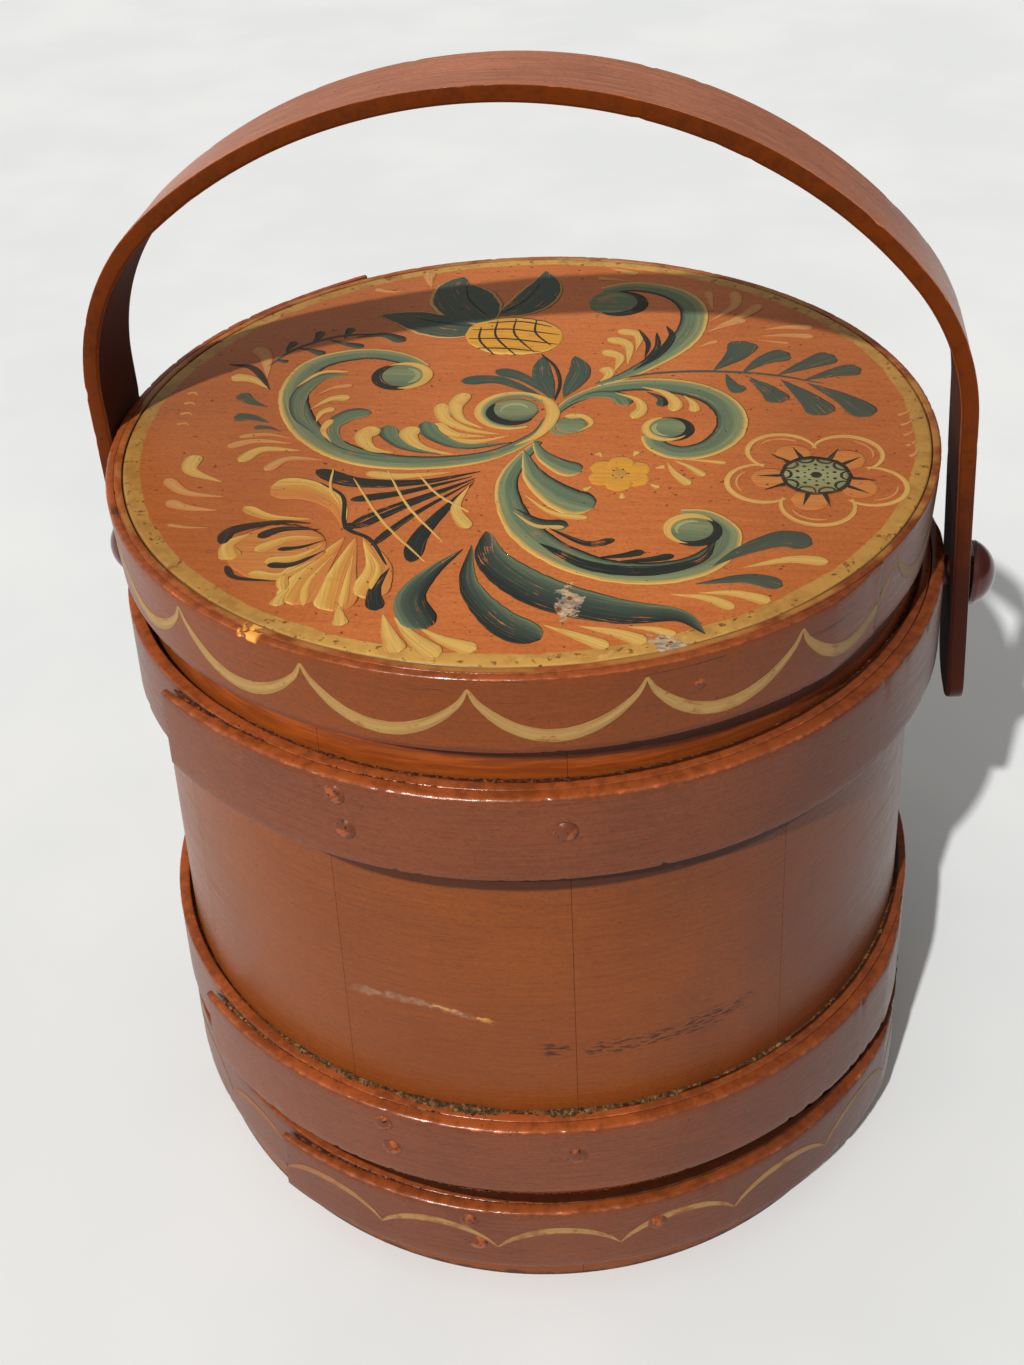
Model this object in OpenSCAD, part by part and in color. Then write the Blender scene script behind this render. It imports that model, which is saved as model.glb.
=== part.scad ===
// Staved wooden bucket with bent wood hoops, a rimmed lid and a bail handle on two pegs.
// Origin: centre of the foot, on the surface that the bucket stands on. +Z is up and X is the line of the pegs.
// Azimuths are degrees counter-clockwise from +X, seen from above. Sizes are in millimetres.

/* [Staves] */
// Outer radius of the staves at the foot
foot_r = 133.5; // [110:0.5:160]
// Outer radius of the staves at their top
top_r = 118.8; // [104:0.1:140]
// Height of the staves
stave_h = 238.5; // [225:0.5:300]
// Thickness of the staves
stave_t = 9; // [7:0.5:12]
// Gap between two staves
stave_gap = 0.12; // [0.05:0.01:0.3]
// Azimuth where the first stave begins
first_joint_az = 219; // [216:1:221]
// Share of the round that each stave takes
stave_shares = [30.5, 32, 30.5, 31, 32, 29, 28, 30, 29, 31, 30, 27];

/* [Bottom board] */
// Height of the bottom board's underside above the foot
board_z = 14; // [8:0.5:30]
// Thickness of the bottom board
board_t = 9; // [6:0.5:14]
// Depth of the groove in the staves that holds the board
croze_depth = 4; // [2:0.5:5]
// Clearance between the board and its groove
croze_fit = 0.1; // [0.05:0.01:0.3]

/* [Hoops] */
// Thickness of one layer of a hoop
hoop_t = 3.9; // [2.5:0.1:5]
// Gap between a hoop and the staves
hoop_fit = 0.1; // [0.02:0.01:0.2]
// Gap between the two layers of a hoop's or the rim's lap
lap_gap = 0.25; // [0.1:0.05:0.5]
// Thickness of a lap's thinned end
lap_end_t = 0.5; // [0.2:0.1:1]
// Height of the top hoop's lower edge
top_hoop_z = 186.8; // [180:0.1:195]
// Height of the top hoop
top_hoop_h = 27.5; // [22:0.5:32]
// Azimuth of the top hoop's outer end
top_lap_az = 224; // [215:1:235]
// Angle that the top hoop's lap takes
top_lap_span = 151; // [120:1:165]
// Height of the middle hoop's lower edge
middle_hoop_z = 55.9; // [50:0.1:80]
// Height of the middle hoop
middle_hoop_h = 28.8; // [20:0.1:36]
// Azimuth of the middle hoop's outer end
middle_lap_az = 221.7; // [215:0.1:235]
// Angle that the middle hoop's lap takes
middle_lap_span = 126; // [90:1:150]
// Height of the bottom hoop's lower edge
bottom_hoop_z = 16.7; // [6:0.1:20]
// Height of the bottom hoop
bottom_hoop_h = 27.7; // [20:0.1:32]
// Azimuth of the bottom hoop's outer end
bottom_lap_az = 236.9; // [225:0.1:245]
// Angle that the bottom hoop's lap takes
bottom_lap_span = 112; // [90:1:150]

/* [Hoop nails] */
// Radius of a nail's head
nail_head_r = 3.3; // [2:0.1:4.5]
// Height of a nail's head
nail_head_h = 1.4; // [0.8:0.1:2.5]
// Radius of a nail's shank
nail_r = 1.3; // [0.8:0.1:1.8]
// Clearance round a nail's shank
nail_fit = 0.05; // [0.02:0.01:0.1]
// Depth that a nail goes into a stave
nail_bite = 5; // [3:0.5:6]
// Azimuths of the nail pairs near the outer ends of the top, middle and bottom hoop
nail_pair_az = [253.5, 255.3, 266.3];
// Azimuths of the single nails beyond them
nail_single_az = [280.8, 280.9, 291.4];
// Height between the two nails of a pair
nail_pair_gap = 11; // [7:0.5:14]
// Height of the nails in a hoop, as a share of the hoop's height
nail_level = 0.58; // [0.4:0.01:0.65]

/* [Lid] */
// Thickness of the lid board
lid_t = 12; // [6:0.5:14]
// Height of the lid rim
rim_h = 23.3; // [18:0.1:30]
// Thickness of one layer of the lid rim
rim_t = 2.4; // [1.6:0.1:3.5]
// Clearance between the rim and the staves at the rim's lower edge
lid_fit = 0.6; // [0.4:0.05:1.5]
// Gap between the lid board's edge and the rim
board_edge_gap = 0.2; // [0.1:0.05:0.5]
// Gap between the lid board and the stave tops that it rests on
lid_rest_gap = 0.05; // [0.02:0.01:0.2]
// Azimuth of the rim's outer end
rim_lap_az = 124; // [110:1:140]
// Angle that the rim's lap takes
rim_lap_span = 202; // [150:1:225]
// Radius of a rim nail's head
rim_nail_head_r = 1.7; // [1:0.1:2.5]
// Height of a rim nail's head
rim_nail_head_h = 0.5; // [0.3:0.1:0.8]
// Radius of a rim nail's shank
rim_nail_r = 0.8; // [0.5:0.1:1.2]
// Depth that a rim nail goes into the lid board
rim_nail_bite = 9; // [6:0.5:14]
// Height of the rim's nails above the lid board's underside
rim_nail_rise = 3; // [2.5:0.5:6]
// Azimuths of the rim's nails
rim_nail_azimuths = [130, 168, 296.8, 12, 52, 92];

/* [Bail handle] */
// Height of the pegs' axis above the foot
peg_z = 201.5; // [196:0.5:206]
// Width of the strap
strap_w = 29; // [20:0.5:36]
// Thickness of the strap
strap_t = 4.9; // [3.5:0.1:7]
// Gap between the top hoop's lap and the arms at the pegs
arm_gap = 2.3; // [1.8:0.1:4]
// Distance that the right arm leans inward from the pegs to the shoulder
arm_lean = 6; // [2:0.1:7]
// The same of the left arm, which has one layer of the top hoop behind it instead of two
left_arm_lean = 1.5; // [1.5:0.1:7]
// Height of the shoulder's start above the pegs
shoulder_z = 60.5; // [60:0.5:80]
// Outer radius of the shoulders
shoulder_r = 74; // [60:1:85]
// Height of the crown's top above the pegs
crown_z = 152.5; // [145:0.5:180]
// Length of the tails below the pegs
tail_l = 44; // [20:1:60]
// Radius of the tails' corners
tail_corner_r = 11; // [4:0.5:14]

/* [Pegs] */
// Radius of a peg's shaft
peg_r = 5; // [3.5:0.1:7]
// Running clearance between a peg and its arm's bore
peg_fit = 0.08; // [0.02:0.01:0.1]
// Clearance round a peg in the hoop and the stave
peg_seat_fit = 0.05; // [0.02:0.01:0.1]
// Gap between a peg's head and the arm at the head's lowest point
head_gap = 0.35; // [0.3:0.05:1]
// Radius of a peg's head
head_r = 10; // [8:0.5:14]
// Height of the head's straight edge
head_edge = 1.5; // [0.5:0.1:3]
// Height of the head's dome
head_dome = 6.5; // [4:0.5:9]
// Length of a peg that stands out inside the bucket
peg_inside = 3; // [1:0.5:8]

/* [Hidden] */
$fn = 96;

stave_red = [0.55, 0.29, 0.18];
hoop_red = [0.50, 0.27, 0.19];
lid_red = [0.66, 0.36, 0.23];
rim_red = [0.58, 0.31, 0.20];
strap_red = [0.62, 0.36, 0.26];
peg_red = [0.33, 0.13, 0.08];
bare_wood = [0.72, 0.58, 0.40];

// Outer radius of the staves at a height
function stave_r(z) = foot_r - (foot_r - top_r) * z / stave_h;
// Angle by which the staves lean inward
lean_angle = atan((foot_r - top_r) / stave_h);

function sum_to(list, n) = n == 0 ? 0 : list[n - 1] + sum_to(list, n - 1);
share_total = sum_to(stave_shares, len(stave_shares));
function joint_az(i) = first_joint_az + 360 * sum_to(stave_shares, i) / share_total;

lid_z = stave_h + lid_rest_gap;
rim_z = lid_z + lid_t - rim_h;
rim_in_r = stave_r(rim_z) + lid_fit;
lid_board_r = rim_in_r - board_edge_gap;
rim_nail_z = lid_z + rim_nail_rise;

// Distance of both shoulders' outer faces from the middle, where the arms end
shoulder_x = stave_r(peg_z) + hoop_fit + 2 * hoop_t + arm_gap + strap_t - arm_lean;
// Outer face at the pegs of an arm that leans inward by a distance
function arm_out(lean) = shoulder_x + lean;
// Slope of an arm, inward per unit of height
function arm_slope(lean) = lean / shoulder_z;
function arm_angle(lean) = atan(arm_slope(lean));
// Centre of a shoulder's arc
function shoulder_cx(lean) = shoulder_x - shoulder_r * cos(arm_angle(lean));
function shoulder_cz(lean) = shoulder_z - shoulder_r * sin(arm_angle(lean));
// Radius of one half of the crown, whose arc meets the shoulder's arc without a kink and is level at its top
function crown_drop(lean) = shoulder_cz(lean) - crown_z;
function crown_r(lean) =
    (pow(shoulder_r, 2) - pow(shoulder_cx(lean), 2) - pow(crown_drop(lean), 2)) /
    (2 * (crown_drop(lean) + shoulder_r));
function join_angle(lean) = atan2(shoulder_cz(lean) - crown_z + crown_r(lean), shoulder_cx(lean));
// Length by which the arms, the shoulders and the crown's halves run on into each other, and how much further out
// the faces of the shoulders and of the crown's left half lie, so that no two faces coincide
strap_overlap = 1;
shoulder_proud = 0.02;
left_crown_proud = 0.01;

// Ring that follows the staves' lean, between two distances outside their outer face
module band(z, h, inside, outside, az = 0, span = 360) {
    rotate([0, 0, az])
        rotate_extrude(angle = span)
            polygon([
                [stave_r(z) + inside, z],
                [stave_r(z) + outside, z],
                [stave_r(z + h) + outside, z + h],
                [stave_r(z + h) + inside, z + h]
            ]);
}

// Angle before its end at which a lap of thickness t over radius r begins to thin
function thin_angle(r, t) = acos((r + lap_end_t) / (r + t));

// Everything beyond the plane that touches a cone or cylinder of radius r along a line at azimuth az
module beyond(r, az, lean, h) {
    rotate([0, 0, az])
        translate([r, 0, 0])
            rotate([0, -lean, 0])
                translate([0, -r, -h])
                    cube([r, 2 * r, 3 * h]);
}

// Moves to a point on the staves' outer face, with +Z pointing straight out of that face
module on_face(az, z) {
    rotate([0, 0, az])
        translate([stave_r(z), 0, z])
            rotate([0, 90 - lean_angle, 0])
                children();
}

// Nail positions of hoop n, counted from the top: azimuth and height of each
function nail_places(n, z, h) = [
    [nail_pair_az[n], z + h * nail_level + nail_pair_gap / 2],
    [nail_pair_az[n] + 1, z + h * nail_level - nail_pair_gap / 2],
    [nail_single_az[n], z + h * nail_level]
];
top_nails = nail_places(0, top_hoop_z, top_hoop_h);
middle_nails = nail_places(1, middle_hoop_z, middle_hoop_h);
bottom_nails = nail_places(2, bottom_hoop_z, bottom_hoop_h);

// A domed nail or peg head: radius r, height h, on the XY plane
module dome(r, h) {
    ball_r = (r * r + h * h) / (2 * h);
    intersection() {
        translate([0, 0, h - ball_r])
            sphere(r = ball_r);
        cylinder(r = r, h = h);
    }
}

// Nails driven through both layers of a lap
module nails(places) {
    depth = (hoop_fit + 2 * hoop_t) * cos(lean_angle);
    for (p = places)
        on_face(p[0], p[1]) {
            translate([0, 0, depth])
                dome(nail_head_r, nail_head_h);
            translate([0, 0, -nail_bite])
                cylinder(r = nail_r, h = depth + nail_bite, $fn = 32);
        }
}

module nail_holes(places) {
    for (p = places)
        on_face(p[0], p[1])
            translate([0, 0, -nail_bite - nail_fit])
                cylinder(r = nail_r + nail_fit, h = nail_bite + 4 * hoop_t, $fn = 32);
}

// Holes for the two pegs through a hoop and the staves
module peg_holes() {
    for (side = [0, 180])
        rotate([0, 0, side])
            translate([stave_r(peg_z) - 2 * stave_t, 0, peg_z])
                rotate([0, 90, 0])
                    cylinder(r = peg_r + peg_seat_fit, h = 2 * stave_t + 3 * hoop_t);
}

module stave(i) {
    from = joint_az(i);
    half_gap = stave_gap / foot_r * 90 / PI;
    span = joint_az(i + 1) - from;
    color(stave_red)
        difference() {
            band(0, stave_h, -stave_t, 0, from + half_gap, span - 2 * half_gap);
            translate([0, 0, board_z - croze_fit])
                cylinder(r = stave_r(board_z) - stave_t + croze_depth + croze_fit, h = board_t + 2 * croze_fit);
            nail_holes(nails_in(concat(top_nails, middle_nails, bottom_nails), from, span));
            peg_holes();
        }
}

// The nails whose place lies in the stave that begins at an azimuth and takes a span, with a margin at each side
function nails_in(places, from, span) = [
    for (p = places)
        if ((p[0] - from + 720 + 3) % 360 < span + 6) p
];

module bottom_board() {
    color(bare_wood)
        translate([0, 0, board_z])
            cylinder(r = stave_r(board_z) - stave_t + croze_depth, h = board_t);
}

// One bent strip round the staves, whose ends lie one over the other along the lap. The outer end is square, and
// the strip thins where it comes down to a single layer. Children are cut out of it.
module hoop(z, h, lap_az, lap_span, places) {
    one_layer = hoop_fit + hoop_t;
    lap_end_az = lap_az + lap_span;
    thin_start = thin_angle(stave_r(z + h) + one_layer, hoop_t);
    color(hoop_red)
        difference() {
            band(z, h, hoop_fit, hoop_fit + 2 * hoop_t);
            band(z - 1, h + 2, one_layer, one_layer + 2 * hoop_t, lap_end_az, 360 - lap_span);
            beyond(stave_r(0) + one_layer + lap_end_t, lap_end_az, lean_angle, stave_h);
            band(z - 1, h + 2, one_layer - lap_gap / 2, one_layer + lap_gap / 2, lap_az - 1, lap_span - thin_start);
            nail_holes(places);
            children();
        }
}

module top_hoop() hoop(top_hoop_z, top_hoop_h, top_lap_az, top_lap_span, top_nails) peg_holes();
module middle_hoop() hoop(middle_hoop_z, middle_hoop_h, middle_lap_az, middle_lap_span, middle_nails);
module bottom_hoop() hoop(bottom_hoop_z, bottom_hoop_h, bottom_lap_az, bottom_lap_span, bottom_nails);

module top_hoop_nails() color(hoop_red) nails(top_nails);
module middle_hoop_nails() color(hoop_red) nails(middle_nails);
module bottom_hoop_nails() color(hoop_red) nails(bottom_nails);

// A turned peg along +X, its axis at the pegs' height, for an arm that leans inward by a distance
module peg(az, lean) {
    inner = stave_r(peg_z) - stave_t - peg_inside;
    outer = arm_out(lean) + arm_slope(lean) * head_r + head_gap;
    color(peg_red)
        rotate([0, 0, az])
            translate([0, 0, peg_z])
                rotate([0, 90, 0]) {
                    translate([0, 0, inner])
                        cylinder(r = peg_r, h = outer - inner + head_edge);
                    translate([0, 0, outer])
                        cylinder(r = head_r, h = head_edge);
                    translate([0, 0, outer + head_edge])
                        dome(head_r, head_dome);
                }
}

module right_peg() peg(0, arm_lean);
module left_peg() peg(180, left_arm_lean);

module lid_board() {
    color(lid_red)
        difference() {
            translate([0, 0, lid_z])
                cylinder(r = lid_board_r, h = lid_t);
            rim_nail_holes();
        }
}

module tube(r, wall, z, h, az = 0, span = 360) {
    rotate([0, 0, az])
        rotate_extrude(angle = span)
            translate([r, z])
                square([wall, h]);
}

module lid_rim() {
    lap_r = rim_in_r + rim_t;
    lap_end_az = rim_lap_az + rim_lap_span;
    thin_start = thin_angle(lap_r, rim_t);
    color(rim_red)
        difference() {
            tube(rim_in_r, 2 * rim_t, rim_z, rim_h);
            tube(lap_r, 2 * rim_t, rim_z - 1, rim_h + 2, lap_end_az, 360 - rim_lap_span);
            beyond(lap_r + lap_end_t, lap_end_az, 0, stave_h);
            tube(lap_r - lap_gap / 2, lap_gap, rim_z - 1, rim_h + 2, rim_lap_az - 1, rim_lap_span - thin_start);
            rim_nail_holes();
        }
}

// True where the rim has two layers
function in_lap(az) = (az - rim_lap_az + 720) % 360 < rim_lap_span;
function rim_face(az) = rim_in_r + rim_t * (in_lap(az) ? 2 : 1);

module rim_nail_holes() {
    for (az = rim_nail_azimuths)
        rotate([0, 0, az])
            translate([lid_board_r - rim_nail_bite, 0, rim_nail_z])
                rotate([0, 90, 0])
                    cylinder(r = rim_nail_r + nail_fit, h = rim_nail_bite + 4 * rim_t, $fn = 32);
}

module lid_rim_nails() {
    color(rim_red)
        for (az = rim_nail_azimuths)
            rotate([0, 0, az])
                translate([0, 0, rim_nail_z])
                    rotate([0, 90, 0]) {
                        translate([0, 0, rim_face(az)])
                            dome(rim_nail_head_r, rim_nail_head_h);
                        translate([0, 0, lid_board_r - rim_nail_bite + nail_fit])
                            cylinder(
                                r = rim_nail_r,
                                h = rim_face(az) - lid_board_r + rim_nail_bite - nail_fit,
                                $fn = 32
                            );
                    }
}

// A bent length of the strap, wider than the strap, about a centre in the plane of the pegs
module bend(centre, r, t, from, to) {
    translate([centre[0], 0, centre[1]])
        rotate([90, 0, 0])
            rotate([0, 0, from])
                rotate_extrude(angle = to - from, $fn = 360)
                    translate([r - t, -strap_w])
                        square([t, 2 * strap_w]);
}

// One side of the bail, wider than the strap: a straight arm with its tail, the shoulder above it and half the crown.
// The crown's end passes the middle by the overlap, and its faces lie further out by a distance.
module side_of_bail(lean, crown_proud) {
    arm_l = (shoulder_z + tail_l) / cos(arm_angle(lean)) + strap_overlap;
    turn = strap_overlap / crown_r(lean) * 180 / PI;
    bend(
        [shoulder_cx(lean), shoulder_cz(lean)],
        shoulder_r + shoulder_proud,
        strap_t + 2 * shoulder_proud,
        arm_angle(lean),
        join_angle(lean)
    );
    translate([shoulder_cx(lean), 0, shoulder_cz(lean)])
        rotate([0, -arm_angle(lean), 0])
            translate([shoulder_r - strap_t, -strap_w, -arm_l])
                cube([strap_t, 2 * strap_w, arm_l + strap_overlap]);
    bend(
        [0, crown_z - crown_r(lean)],
        crown_r(lean) + crown_proud,
        strap_t + 2 * crown_proud,
        join_angle(lean) - turn,
        90 + turn
    );
}

// The strap's outline from the side: a long bar with two round corners at its lower end
module side_outline() {
    half_w = strap_w / 2;
    translate([-half_w, tail_corner_r - tail_l])
        square([strap_w, tail_l - tail_corner_r + crown_z + 1]);
    translate([tail_corner_r - half_w, -tail_l])
        square([strap_w - 2 * tail_corner_r, tail_l]);
    for (side = [-1, 1])
        translate([side * (half_w - tail_corner_r), tail_corner_r - tail_l])
            circle(r = tail_corner_r);
}

module bail_handle() {
    reach = arm_out(arm_lean) + arm_slope(arm_lean) * tail_l + 1;
    color(strap_red)
        translate([0, 0, peg_z])
            difference() {
                intersection() {
                    union() {
                        side_of_bail(arm_lean, 0);
                        mirror([1, 0, 0])
                            side_of_bail(left_arm_lean, left_crown_proud);
                    }
                    rotate([90, 0, 90])
                        linear_extrude(height = 2 * reach, center = true)
                            side_outline();
                }
                rotate([0, 90, 0])
                    cylinder(r = peg_r + peg_fit, h = 2 * reach, center = true);
            }
}

for (i = [0:len(stave_shares) - 1])
    stave(i);
bottom_board();
top_hoop();
middle_hoop();
bottom_hoop();
top_hoop_nails();
middle_hoop_nails();
bottom_hoop_nails();
left_peg();
right_peg();
lid_board();
lid_rim();
lid_rim_nails();
bail_handle();
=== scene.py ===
"""Looks of a folk-painted staved box with a rimmed lid and a strap bail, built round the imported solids.

Lengths are in metres in the solids' frame. Azimuths are degrees counter-clockwise from +X, seen from above.
"""

import math

import bmesh
import bpy
import numpy as np
from mathutils import Matrix, Vector, noise
from mathutils.bvhtree import BVHTree


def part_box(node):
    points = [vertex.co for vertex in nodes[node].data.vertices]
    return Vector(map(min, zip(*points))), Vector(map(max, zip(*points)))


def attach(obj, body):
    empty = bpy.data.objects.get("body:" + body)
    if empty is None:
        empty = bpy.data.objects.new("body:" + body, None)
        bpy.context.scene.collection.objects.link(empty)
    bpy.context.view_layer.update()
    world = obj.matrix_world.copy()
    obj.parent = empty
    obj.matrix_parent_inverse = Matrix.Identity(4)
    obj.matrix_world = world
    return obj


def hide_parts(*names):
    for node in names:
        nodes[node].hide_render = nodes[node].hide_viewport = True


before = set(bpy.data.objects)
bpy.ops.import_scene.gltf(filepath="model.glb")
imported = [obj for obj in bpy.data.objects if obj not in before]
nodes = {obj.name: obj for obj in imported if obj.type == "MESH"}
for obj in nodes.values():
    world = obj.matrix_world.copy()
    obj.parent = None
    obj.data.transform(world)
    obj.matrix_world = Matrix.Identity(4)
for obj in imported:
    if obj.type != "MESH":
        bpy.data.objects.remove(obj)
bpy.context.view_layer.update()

MM = 0.001


# Sizes taken from the solids

def low(node):
    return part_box(node)[0]


def high(node):
    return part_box(node)[1]


LID_TOP = high("lid_board").z
LID_R = high("lid_board").x
STAVE_H = high("stave_01").z
FOOT_R = 133.5 * MM
STAVE_LEAN = 0.0616
RIM_CHIP = -63 * MM
HOOP_T = 3.9 * MM
HOOP_GAP = 0.1 * MM
RIM_T = 2.4 * MM
RIM_IN = LID_R + 0.2 * MM


# Colours

def paint_colour(red, green, blue):
    """A colour given as 0 to 255 display values."""
    return tuple(((v / 255 + 0.055) / 1.055) ** 2.4 if v > 10 else v / 255 / 12.92 for v in (red, green, blue))


BRICK = paint_colour(136, 70, 24)
BRICK_DARK = paint_colour(118, 60, 24)
HOOP_RED = paint_colour(123, 66, 38)
HOOP_DARK = paint_colour(104, 55, 34)
RIM_RED = paint_colour(132, 64, 22)
LID_RED = paint_colour(202, 117, 61)
LID_DARK = paint_colour(188, 103, 52)
RUBBED = paint_colour(158, 80, 38)
WORN_ORANGE = paint_colour(198, 102, 50)
BARE_TAN = paint_colour(214, 158, 98)
GOLD_CHIP = paint_colour(236, 168, 78)
RAW_WOOD = paint_colour(196, 160, 116)
GRIME = paint_colour(92, 66, 38)
USUAL_SHINE = 0.19
SOOT = paint_colour(36, 22, 16)
STRAP_RED = paint_colour(196, 124, 92)
STRAP_DARK = paint_colour(152, 92, 66)
STRAP_EDGE = paint_colour(100, 42, 4)
OLD_VARNISH = paint_colour(56, 26, 10)
STRAP_INSIDE_SHADE = paint_colour(66, 26, 14)
PEG_RED = paint_colour(84, 28, 18)
GOLD = paint_colour(198, 152, 78)
OCHRE = paint_colour(190, 142, 70)
CREAM = paint_colour(216, 174, 94)
FADED_CREAM = paint_colour(204, 152, 94)
KHAKI = paint_colour(158, 120, 64)
KHAKI_PALE = paint_colour(172, 136, 80)
FAINT_OCHRE = paint_colour(158, 122, 72)
PALE_SAGE = paint_colour(158, 162, 116)
SAGE = paint_colour(128, 138, 100)
GREEN = paint_colour(100, 118, 92)
DEEP_GREEN = paint_colour(62, 82, 74)
LEAF_GREY = paint_colour(70, 84, 73)
BLACK_GREEN = paint_colour(38, 46, 43)
YELLOW = paint_colour(216, 154, 58)
BRIGHT_YELLOW = paint_colour(224, 174, 82)
BLUSH = paint_colour(204, 130, 68)
PETAL_PALE = paint_colour(222, 182, 96)
PETAL = paint_colour(208, 150, 70)
SIDE_SHADE_BROWN = paint_colour(98, 50, 18)
BROWN_LINE = paint_colour(120, 70, 30)
FLAKE_GREY = paint_colour(126, 122, 114)
FLAKE_PALE = paint_colour(196, 164, 128)


# Materials

class Finish:
    """A material under construction. Each method adds one node and returns its output."""

    def __init__(self, name):
        self.material = bpy.data.materials.new(name)
        self.material.use_nodes = True
        self.tree = self.material.node_tree
        self.shader = self.tree.nodes["Principled BSDF"]
        self.shader.inputs["Specular IOR Level"].default_value = USUAL_SHINE

    def add(self, kind, inputs=None, output=0, **settings):
        made = self.tree.nodes.new(kind)
        for key, value in settings.items():
            setattr(made, key, value)
        for key, value in (inputs or {}).items():
            socket = made.inputs[key]
            if isinstance(value, bpy.types.NodeSocket):
                self.tree.links.new(value, socket)
            elif isinstance(value, tuple) and len(value) == 3 and socket.type == "RGBA":
                socket.default_value = (*value, 1)
            else:
                socket.default_value = value
        return made.outputs[output]

    def math(self, operation, a, b=0.0, c=0.0, clamp=False):
        return self.add("ShaderNodeMath", {0: a, 1: b, 2: c}, operation=operation, use_clamp=clamp)

    def place(self):
        return self.add("ShaderNodeTexCoord", output=3)

    def split(self, vector):
        made = self.tree.nodes.new("ShaderNodeSeparateXYZ")
        self.tree.links.new(vector, made.inputs[0])
        return made.outputs

    def join(self, x, y, z):
        return self.add("ShaderNodeCombineXYZ", {0: x, 1: y, 2: z})

    def attribute(self, name, output=2):
        return self.add("ShaderNodeAttribute", output=output, attribute_name=name)

    def noise(self, vector, scale, detail=4.0, rough=0.55, distortion=0.0, output=0):
        return self.add("ShaderNodeTexNoise", {"Vector": vector, "Scale": scale, "Detail": detail,
                                               "Roughness": rough, "Distortion": distortion}, output)

    def stretch(self, vector, x, y, z):
        return self.add("ShaderNodeMapping", {"Vector": vector, "Scale": (x, y, z)})

    def window(self, value, start, end, low_value=0.0, high_value=1.0):
        return self.add("ShaderNodeMapRange", {"Value": value, 1: start, 2: end, 3: low_value, 4: high_value},
                        interpolation_type="SMOOTHSTEP")

    def mix(self, share, a, b, blend="MIX"):
        made = self.tree.nodes.new("ShaderNodeMix")
        made.data_type = "RGBA"
        made.blend_type = blend
        for socket, value in ((made.inputs[0], share), (made.inputs[6], a), (made.inputs[7], b)):
            if isinstance(value, bpy.types.NodeSocket):
                self.tree.links.new(value, socket)
            elif isinstance(value, tuple):
                socket.default_value = (*value, 1)
            else:
                socket.default_value = value
        return made.outputs[2]

    def blend(self, share, a, b):
        made = self.tree.nodes.new("ShaderNodeMix")
        for socket, value in ((made.inputs[0], share), (made.inputs[2], a), (made.inputs[3], b)):
            if isinstance(value, bpy.types.NodeSocket):
                self.tree.links.new(value, socket)
            else:
                socket.default_value = value
        return made.outputs[0]

    def round_the_box(self, vector):
        """Place as unrolled from the box: length round it, height, distance from the axis."""
        x, y, z = self.split(vector)
        back = self.math("MULTIPLY", y, -1.0)
        turn = self.math("ARCTAN2", x, back)
        length = self.math("MULTIPLY", turn, FOOT_R)
        radius = self.math("SQRT", self.math("ADD", self.math("MULTIPLY", x, x), self.math("MULTIPLY", y, y)))
        return length, z, radius

    def dull(self, shine):
        """How much the surface reflects, where that isn't the same all over."""
        self.tree.links.new(shine, self.shader.inputs["Specular IOR Level"])

    def finish(self, colour, roughness, bump=None, strength=0.3, distance=0.0004, coat=0.0):
        links = self.tree.links
        links.new(colour, self.shader.inputs["Base Color"])
        if isinstance(roughness, bpy.types.NodeSocket):
            links.new(roughness, self.shader.inputs["Roughness"])
        else:
            self.shader.inputs["Roughness"].default_value = roughness
        if coat:
            self.shader.inputs["Coat Weight"].default_value = coat
            self.shader.inputs["Coat Roughness"].default_value = 0.25
        if bump is not None:
            made = self.tree.nodes.new("ShaderNodeBump")
            made.inputs["Strength"].default_value = strength
            made.inputs["Distance"].default_value = distance
            links.new(bump, made.inputs["Height"])
            links.new(made.outputs[0], self.shader.inputs["Normal"])
        return self.material


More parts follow.
